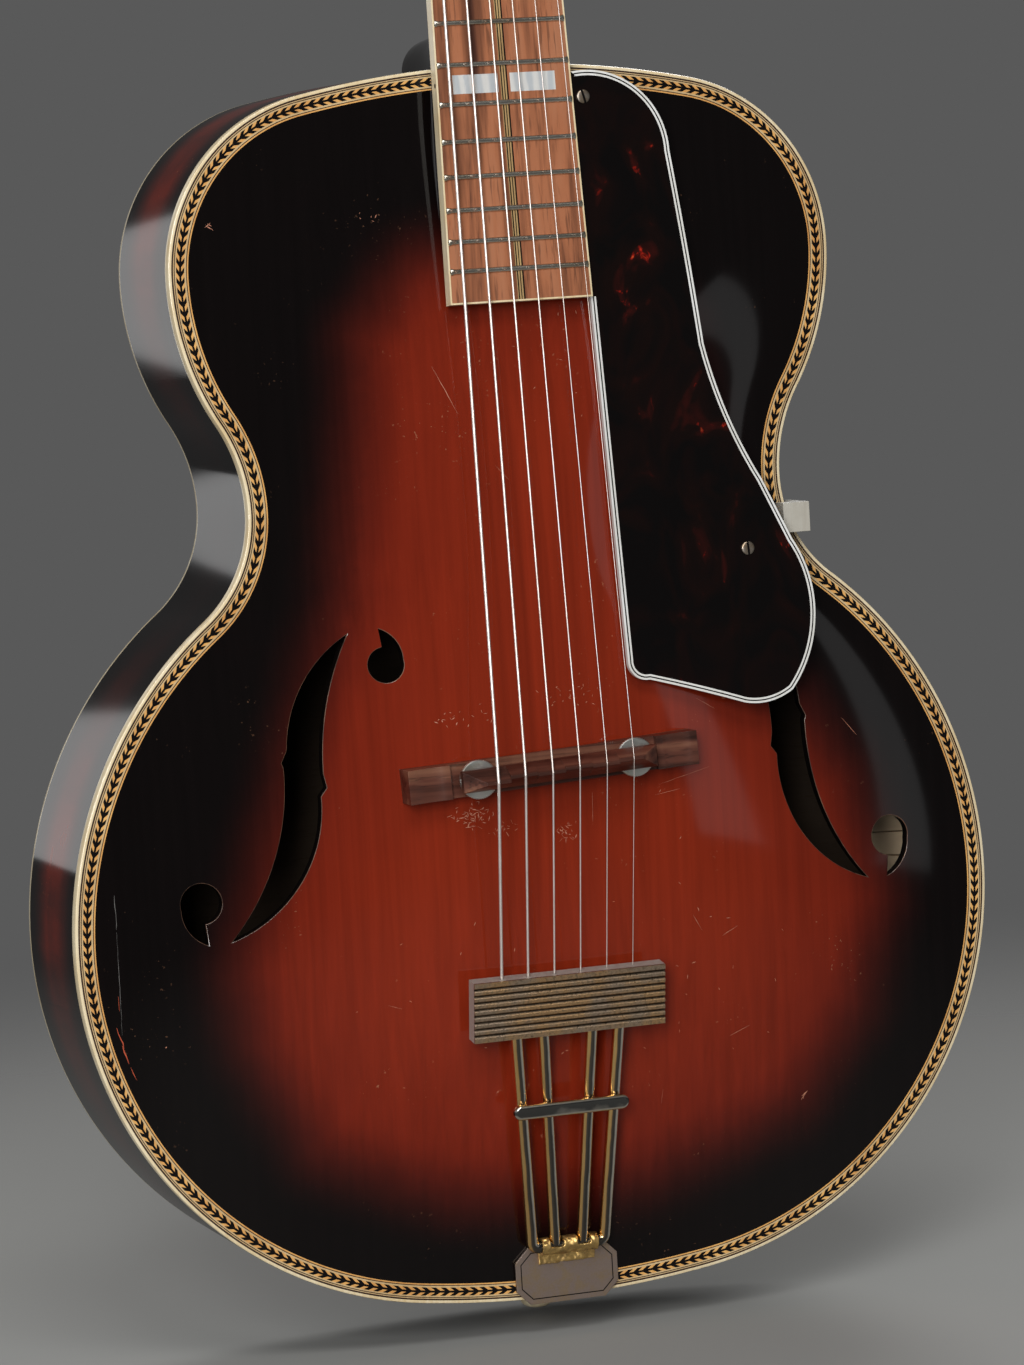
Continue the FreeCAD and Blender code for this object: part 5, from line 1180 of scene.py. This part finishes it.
for number, radius in enumerate(STRING_RADII):
    side, post_y = post_place(number)
    reach = POST_RADIUS + STRING_CLEARANCE + radius
    turns = np.linspace(0, WINDING_TURNS, WINDING_POINTS)
    angle = (math.pi if side > 0 else 0) - side * 2 * math.pi * turns
    helix = np.column_stack([side * POST_X + reach * np.cos(angle), post_y + reach * np.sin(angle),
                             VENEER_THICKNESS + STRING_RISE_ON_POST - turns * WINDING_DROP * radius])
    piece("string_winding_%d" % (number + 1), tube(helix, radius, WINDING_SIDES), string_wire, place=on_head,
          body="post_%d" % (number + 1))

# %% [markdown]
# ## Turned and threaded pieces
# Thumbwheels have a knurled rim and stand on threaded studs, the worms of the tuners carry a thread, the end
# pin is turned in one flowing profile, and screws have domed heads with a slot. A profile spun round an
# axis makes most of them, a helix the thread, and a boolean cut the slots.

# %% Spin profiles
WHEEL_RADIUS, WHEEL_THICKNESS, WHEEL_FOOT, KNURLS, KNURL_DEPTH = 8.1, 2.2, 27.0, 52, 0.22
WHEEL_CHAMFER, WHEEL_BEVEL, BORE_PLAY = 0.5, 0.35, 0.08
STUD_SPACING, STUD_RADIUS, STUD_FOOT, STUD_TOP, STUD_SIDES = 68.0, 1.6, 19.5, 33.5, 20
THREAD_PITCH, THREAD_DEPTH = 0.8, 0.25


def spun(profile, sides, closed=False, ripple=None):
    rings = []
    for row, (radius, height) in enumerate(profile):
        reach = radius + (ripple[row] * (np.arange(sides) % 2) if ripple else 0)
        rings.append(np.column_stack([reach * np.cos(circle(sides)), reach * np.sin(circle(sides)),
                                      np.full(sides, height)]))
    return loft(rings, closed)


def moved(shape, *shift):
    return shape[0] + np.array(shift), shape[1]


def thumbwheel():
    top = WHEEL_FOOT + WHEEL_THICKNESS
    bore = STUD_RADIUS + BORE_PLAY
    profile = [(bore, WHEEL_FOOT), (WHEEL_RADIUS - WHEEL_CHAMFER, WHEEL_FOOT),
               (WHEEL_RADIUS, WHEEL_FOOT + WHEEL_BEVEL), (WHEEL_RADIUS, top - WHEEL_BEVEL),
               (WHEEL_RADIUS - WHEEL_CHAMFER, top), (bore, top)]
    return spun(profile, 2 * KNURLS, True, (0, 0, -KNURL_DEPTH, -KNURL_DEPTH, 0, 0))


def stud():
    heights = np.linspace(STUD_FOOT, STUD_TOP, int((STUD_TOP - STUD_FOOT) / THREAD_PITCH * 2))
    return spun([(STUD_RADIUS - THREAD_DEPTH * (k % 2), z) for k, z in enumerate(heights)], STUD_SIDES)


STUD_SPOTS = (("bass", -STUD_SPACING / 2), ("treble", STUD_SPACING / 2))
for hand, x in STUD_SPOTS:
    wheel = moved(thumbwheel(), x, 0, 0)
    piece("knurled_wheel_" + hand, wheel, wheel_metal, "thumbwheel_" + hand, place=on_bridge)
studs = joined([moved(stud(), x, 0, 0) for _, x in STUD_SPOTS])
piece("threaded_studs", studs, nickel, "bridge_posts", place=on_bridge)

# %% Turn the end pin and cut the worm threads
PIN_FACE, PIN_LEVEL, PIN_STEM, PIN_SIDES = -1.6, -40.0, 22.0, 40
PIN_NECK = [(4.2, 0.0), (6.6, 0.0), (6.4, 0.7), (5.0, 2.0), (4.6, 3.0), (5.0, 4.0), (6.4, 5.4)]
PIN_CAP_FLAT, PIN_CAP_RADIUS, PIN_CAP_START, PIN_CAP_HEIGHT, PIN_CAP_POINTS = 1.2, 5.8, 6.5, 3.5, 7
WORM_RADIUS, WORM_LENGTH, WORM_AHEAD, WORM_LEVEL, WORM_TURNS = 2.4, 8.0, 8.95, -17.95, 5
WORM_RIDGE, WORM_POINTS, WORM_SIDES = 0.4, 90, 6


def along_tail(points):
    return np.column_stack([points[:, 0], points[:, 2], points[:, 1] + PIN_LEVEL])


pin_profile = [(PIN_NECK[0][0], PIN_STEM)] + [(radius, PIN_FACE - out) for radius, out in PIN_NECK]
for t in np.linspace(0, math.pi / 2, PIN_CAP_POINTS):
    pin_profile.append((PIN_CAP_FLAT + PIN_CAP_RADIUS * math.cos(t),
                        PIN_FACE - PIN_CAP_START - PIN_CAP_HEIGHT * math.sin(t)))
piece("turned_end_pin", spun(pin_profile, PIN_SIDES), ivory, "end_pin", place=along_tail)

run = np.linspace(0, 1, WORM_POINTS)
angle = 2 * math.pi * WORM_TURNS * run
for number in range(len(STRING_RADII)):
    side, post_y = post_place(number)
    helix = np.column_stack([side * POST_X + (run - 0.5) * (WORM_LENGTH - 2 * WORM_RIDGE),
                             post_y + WORM_AHEAD + WORM_RADIUS * np.cos(angle),
                             WORM_LEVEL + WORM_RADIUS * np.sin(angle)])
    piece("worm_thread_%d" % (number + 1), tube(helix, WORM_RIDGE, WORM_SIDES), nickel, place=on_head,
          body="key_%d" % (number + 1))

# %% Slotted screws
GUARD_SCREWS = [(34.1, 495.7, 11.51, 15), (92.1, 306.4, 19.04, 5)]
HANGER_DROP, HANGER_FRONT, HANGER_SCREWS = 66, 1.6, ((0.24, 20), (0.8, 70))
TUNER_COLUMNS, TUNER_ROWS, TUNER_LEVEL = (-14.6, -28.4, 14.6, 28.4), (33.0, 60.0, 100.0), 15.3
TUNER_SLOT_TURN, TUNER_SLOT_STEP = 30, 7
SLOT_WIDTH_SHARE, SLOT_DEPTH_SHARE = 0.17, 0.7
DOME_SHARES = [(1.0, 0.0), (1.0, 0.55), (0.95, 0.75), (0.8, 0.9), (0.45, 0.98), (0.05, 1.0)]
DOME_SIDES = 28


def carve(target, cutter):
    cut = target.modifiers.new("cut", "BOOLEAN")
    cut.object, cut.operation, cut.solver = cutter, "DIFFERENCE", "EXACT"
    result = bpy.data.meshes.new_from_object(target.evaluated_get(bpy.context.evaluated_depsgraph_get()))
    target.modifiers.remove(cut)
    target.data = result
    shade(result)
    bpy.data.objects.remove(cutter)


def screw_heads(name, spots, radius, height, place, material, node):
    half = SLOT_WIDTH_SHARE * radius
    dome = spun([(wide * radius, high * height) for wide, high in DOME_SHARES], DOME_SIDES)
    slot, sides = slab(-half, half, -2 * radius, 2 * radius, height * (1 - SLOT_DEPTH_SHARE), 2 * height)
    heads = joined([moved(dome, x, y, z) for x, y, z, _ in spots])
    points, faces = joined([(turned(slot, turn, (x, y, z)), sides) for x, y, z, turn in spots])
    screws = piece(name, heads, [material, black_dye_and_slot_shade], node, place=place)
    cutter = linked("slot cutter", bpy.data.meshes.new("slot cutter"))
    cutter.data.from_pydata(stand_up(place(points)).tolist(), [], faces)
    cutter.data.flip_normals()
    for dye in (material, black_dye_and_slot_shade):
        cutter.data.materials.append(dye)
    # The slot faces are painted black: painted shade and dirt in the slot.
    cutter.data.polygons.foreach_set("material_index", [1] * len(faces))
    carve(screws, cutter)


def facing_tail(points):
    return np.column_stack([points[:, 0], -points[:, 2], points[:, 1]])


def facing_back(points):
    return on_head(points * np.array([1.0, -1.0, -1.0]))


hanger_spots = [(0, -HANGER_DROP * share, HANGER_FRONT, turn) for share, turn in HANGER_SCREWS]
tuner_spots = [(x, -y, TUNER_LEVEL, TUNER_SLOT_TURN + TUNER_SLOT_STEP * y)
               for x in TUNER_COLUMNS for y in TUNER_ROWS]
SCREWS = [("guard_screw_heads", GUARD_SCREWS, 2.8, 0.9, as_is, screw_metal, "pickguard_screws"),
          ("hanger_screw_heads", hanger_spots, 3.2, 1.6, facing_tail, screw_metal, "hanger_screws"),
          ("tuner_screw_heads", tuner_spots, 2.2, 1.1, facing_back, nickel, "tuner_screws")]
for entry in SCREWS:
    screw_heads(*entry)

# %% [markdown]
# ## Pickguard edge, hanger border and lining blocks
# The tortoise guard is bound in three layers, white, black and white, except beside the board. They are rings
# between copies of its outline moved inward. The tailpiece hanger has a fine line engraved along its edge.
# Inside the body, the linings are sawn nearly through so that they bend, and the blocks between the cuts show
# through a sound hole.

# %% Bind the pickguard
GUARD_WIDTH, GUARD_Y, GUARD_LENGTH, GUARD_NECK_GAP, GUARD_GAP = 90.0, 242.0, 264.0, 4.9, 0.7
GUARD_THICKNESS, GUARD_HEIGHT_AT_NECK, GUARD_HEIGHT_AT_TAIL = 2.4, 11.0, 21.5
GUARD_START, GUARD_END = board_half_width(-GUARD_NECK_GAP) + GUARD_GAP, GUARD_Y + GUARD_LENGTH
GUARD_SIDE_SHARES = (((0.272, 0.981), (0.45, 0.871)), ((0.509, 0.705), (0.55, 0.568)),
                     ((0.652, 0.448), (0.788, 0.35)), ((0.917, 0.253),), ((1.005, 0.125), (0.869, 0.016)),
                     ((0.761, 0.001), (0.628, 0.002)), ((0.37, 0.031), (0.172, 0.051)),
                     ((0.1, 0.059), (0.072, 0.083)), ((0, 1),))
EDGE_LAYERS = [(0.0, 0.85, 0), (0.85, 1.4, 1), (1.4, 2.2, 0)]


def guard_spot(shares):
    return (GUARD_START + GUARD_WIDTH * shares[0], GUARD_Y + GUARD_LENGTH * shares[1])


def guard_loop():
    foot = (board_half_width(-BOARD_OVERHANG) + GUARD_GAP, BODY_LENGTH - BOARD_OVERHANG)
    return np.concatenate([traced((0, 1), GUARD_SIDE_SHARES, guard_spot), [foot]])


def moved_inward(loop, depth):
    ahead = np.roll(loop, -1, axis=0) - loop
    ahead /= np.linalg.norm(ahead, axis=1)[:, None]
    normal = np.column_stack([ahead[:, 1], -ahead[:, 0]])
    pair = normal + np.roll(normal, 1, axis=0)
    pair /= (pair * normal).sum(1)[:, None]
    turning = np.sign(np.cross(loop - loop.mean(0), np.roll(loop, -1, axis=0) - loop.mean(0)).sum())
    return loop - turning * depth * pair


def on_guard(points):
    fall = math.degrees(math.atan2(GUARD_HEIGHT_AT_TAIL - GUARD_HEIGHT_AT_NECK, GUARD_LENGTH))
    return turned(points - np.array([0, GUARD_END, 0]), -fall, (0, GUARD_END, GUARD_HEIGHT_AT_NECK), 1)


def banded(loop, outer, inner, low, high):
    corners = ((outer, low), (outer, high), (inner, high), (inner, low))
    rings = [np.column_stack([moved_inward(loop, depth), np.full(len(loop), z)]) for depth, z in corners]
    return loft(rings, closed=True)


loop = guard_loop()
for tint, name, material in ((0, "guard_white_layers", white_edge), (1, "guard_black_layer", black_dye_and_slot_shade)):
    layers = joined([banded(loop, outer, inner, -GUARD_THICKNESS, 0.0)
                     for outer, inner, which in EDGE_LAYERS if which == tint])
    beside_board = [int(k % len(loop) == len(loop) - 1) for k in range(len(layers[1]))]
    piece(name, layers, [material, guard_shell], "pickguard_binding", place=on_guard, pick=beside_board)

# %% Engrave the hanger
LINE_INSET, LINE_WIDTH, LINE_FLOOR, LINE_LIFT = 2.1, 0.45, 0.05, 0.02
HANGER_HALF, HANGER_LOW, HANGER_HIGH, HANGER_CORNER, HANGER_TOP = 22.4, -1.6, 22.4, 6.0, 2.2
right_side = [(HANGER_HALF - HANGER_CORNER, HANGER_LOW), (HANGER_HALF, HANGER_LOW + HANGER_CORNER),
              (HANGER_HALF, HANGER_HIGH - HANGER_CORNER), (HANGER_HALF - HANGER_CORNER, HANGER_HIGH)]
octagon = np.array(right_side + [(-x, y) for x, y in right_side[::-1]])
line = banded(octagon, LINE_INSET, LINE_INSET + LINE_WIDTH, HANGER_TOP - LINE_FLOOR, HANGER_TOP + LINE_LIFT)
piece("hanger_engraved_lines", line, black_dye_and_slot_shade, body="guitar")

# %% Saw the lining blocks
LINING_WIDTH, BACK_LINING_WIDTH, LINING_HEIGHT, BLOCK_PITCH, KERF = 7.5, 21.0, 18.0, 11.6, 0.7
TOP_EDGE, BACK_EDGE = -6.0, 5.5 - RIM_DEPTH
TAIL_BLOCK, NECK_BLOCK, SQUARE_SHARE = 36, 44, 0.35


def lining_block(length, side, root, tip, width):
    rings = []
    for along in (length, length + BLOCK_PITCH - KERF):
        near, far = (along_half(along, depth, side) for depth in (RIM_THICKNESS, RIM_THICKNESS + width))
        middle = ((near[0] + far[0]) / 2, (near[1] + far[1]) / 2)
        rings.append([(*near, root), (*far, root), (*far, root + SQUARE_SHARE * (tip - root)), (*middle, tip),
                      (*near, tip)])
    return loft(rings)


blocks = [lining_block(length, side, root, tip, width)
          for root, tip, width in ((TOP_EDGE, TOP_EDGE - LINING_HEIGHT, LINING_WIDTH),
                                   (BACK_EDGE, BACK_EDGE + LINING_HEIGHT, BACK_LINING_WIDTH))
          for side in (1, -1) for length in np.arange(TAIL_BLOCK, RUN[-1] - NECK_BLOCK, BLOCK_PITCH)]
piece("sawn_lining_blocks", joined(blocks), lining_with_painted_light, "kerfed_linings")

# %% [markdown]
# ## Studio
# A round pale floor fades into the grey of the room, so nothing hides the object from a camera behind it. The
# light is soft: a broad lamp from the left, a tall strip at the right whose reflection glides over the arch,
# a lamp far left for the bindings, a strip behind that draws the lacquered rims, a fill over the camera and
# one for the back. The world adds a low even light, and it is the backdrop. Each lamp is given by its place,
# target, width, height and power.

# %% Floor, lamps and world
FLOOR_DROP, FLOOR_RADIUS, FLOOR_SIDES = 0.004, 3.0, 96
FADE_NEAR, FADE_FAR = 0.3, 1.3
PALE_PAPER, ROOM_GREY = (0.3, 0.3, 0.288), 0.1
LAMPS = [("left_softbox", (-1.2, -2.35, 0.9), (0, 0, 0.3), 0.7, 1.4, 50.0),
         ("right_strip", (0.83, -1.12, 0.24), (0.13, 0, 0.24), 0.1, 0.48, 0.13),
         ("left_edge", (-1.9, -0.6, 0.5), (0, 0, 0.25), 0.3, 1.0, 3.6),
         ("rim_strip", (-0.4, 0.9, 0.56), (-0.15, 0, 0.3), 0.16, 0.78, 0.57),
         ("overhead_fill", (-0.4, -2.3, 2.6), (0, 0, 0.3), 1.5, 1.0, 38.0),
         ("back_fill", (1.4, 2.0, 1.9), (0, 0, 0.4), 1.2, 1.2, 30.0)]


def round_floor():
    material, tree = blank("pale paper")
    reach = add(tree, "VectorMath", {0: here(tree)}, operation="LENGTH").outputs["Value"]
    fade = add(tree, "MapRange", {0: reach, 1: FADE_NEAR, 2: FADE_FAR, 3: 1.0, 4: 0.0},
               interpolation_type="SMOOTHSTEP").outputs[0]
    low = cad_box[0].z - FLOOR_DROP
    ring = [(FLOOR_RADIUS * math.cos(t), FLOOR_RADIUS * math.sin(t), low) for t in circle(FLOOR_SIDES)]
    mesh = bpy.data.meshes.new("floor")
    mesh.from_pydata(ring, [], [tuple(range(FLOOR_SIDES))])
    mesh.materials.append(dressed(material, Roughness=0.85, Base_Color=PALE_PAPER, Alpha=fade))
    linked("floor", mesh)


def lamp(name, spot, target, width, height, power):
    light = bpy.data.lights.new(name, "AREA")
    light.shape = "RECTANGLE"
    light.size, light.size_y, light.energy = width, height, power
    thing = linked(name, light)
    thing.location = spot
    thing.rotation_euler = (Vector(target) - Vector(spot)).to_track_quat("-Z", "Y").to_euler()
    thing.visible_camera = False


round_floor()
for entry in LAMPS:
    lamp(*entry)
world = bpy.data.worlds.new("studio")
world.use_nodes = True
backdrop = world.node_tree.nodes["Background"].inputs
backdrop["Color"].default_value = opaque(1.0)
backdrop["Strength"].default_value = ROOM_GREY
bpy.context.scene.world = world
bpy.context.scene.view_settings.view_transform = "Standard"
print("studio ready")

# %% [markdown]
# ## Wood inside the body
# Blocks and tone bars stay as they were built, in wood painted near black as painted shade, like the inside of
# plates and rims; they only show through the sound holes.

# %% Finish the inside
for name in ("neck_block", "tail_block", "tone_bars"):
    mesh = frame["nodes"][name].data
    mesh.materials.clear()
    mesh.materials.append(inside_painted_shade)
print("inside wood finished")
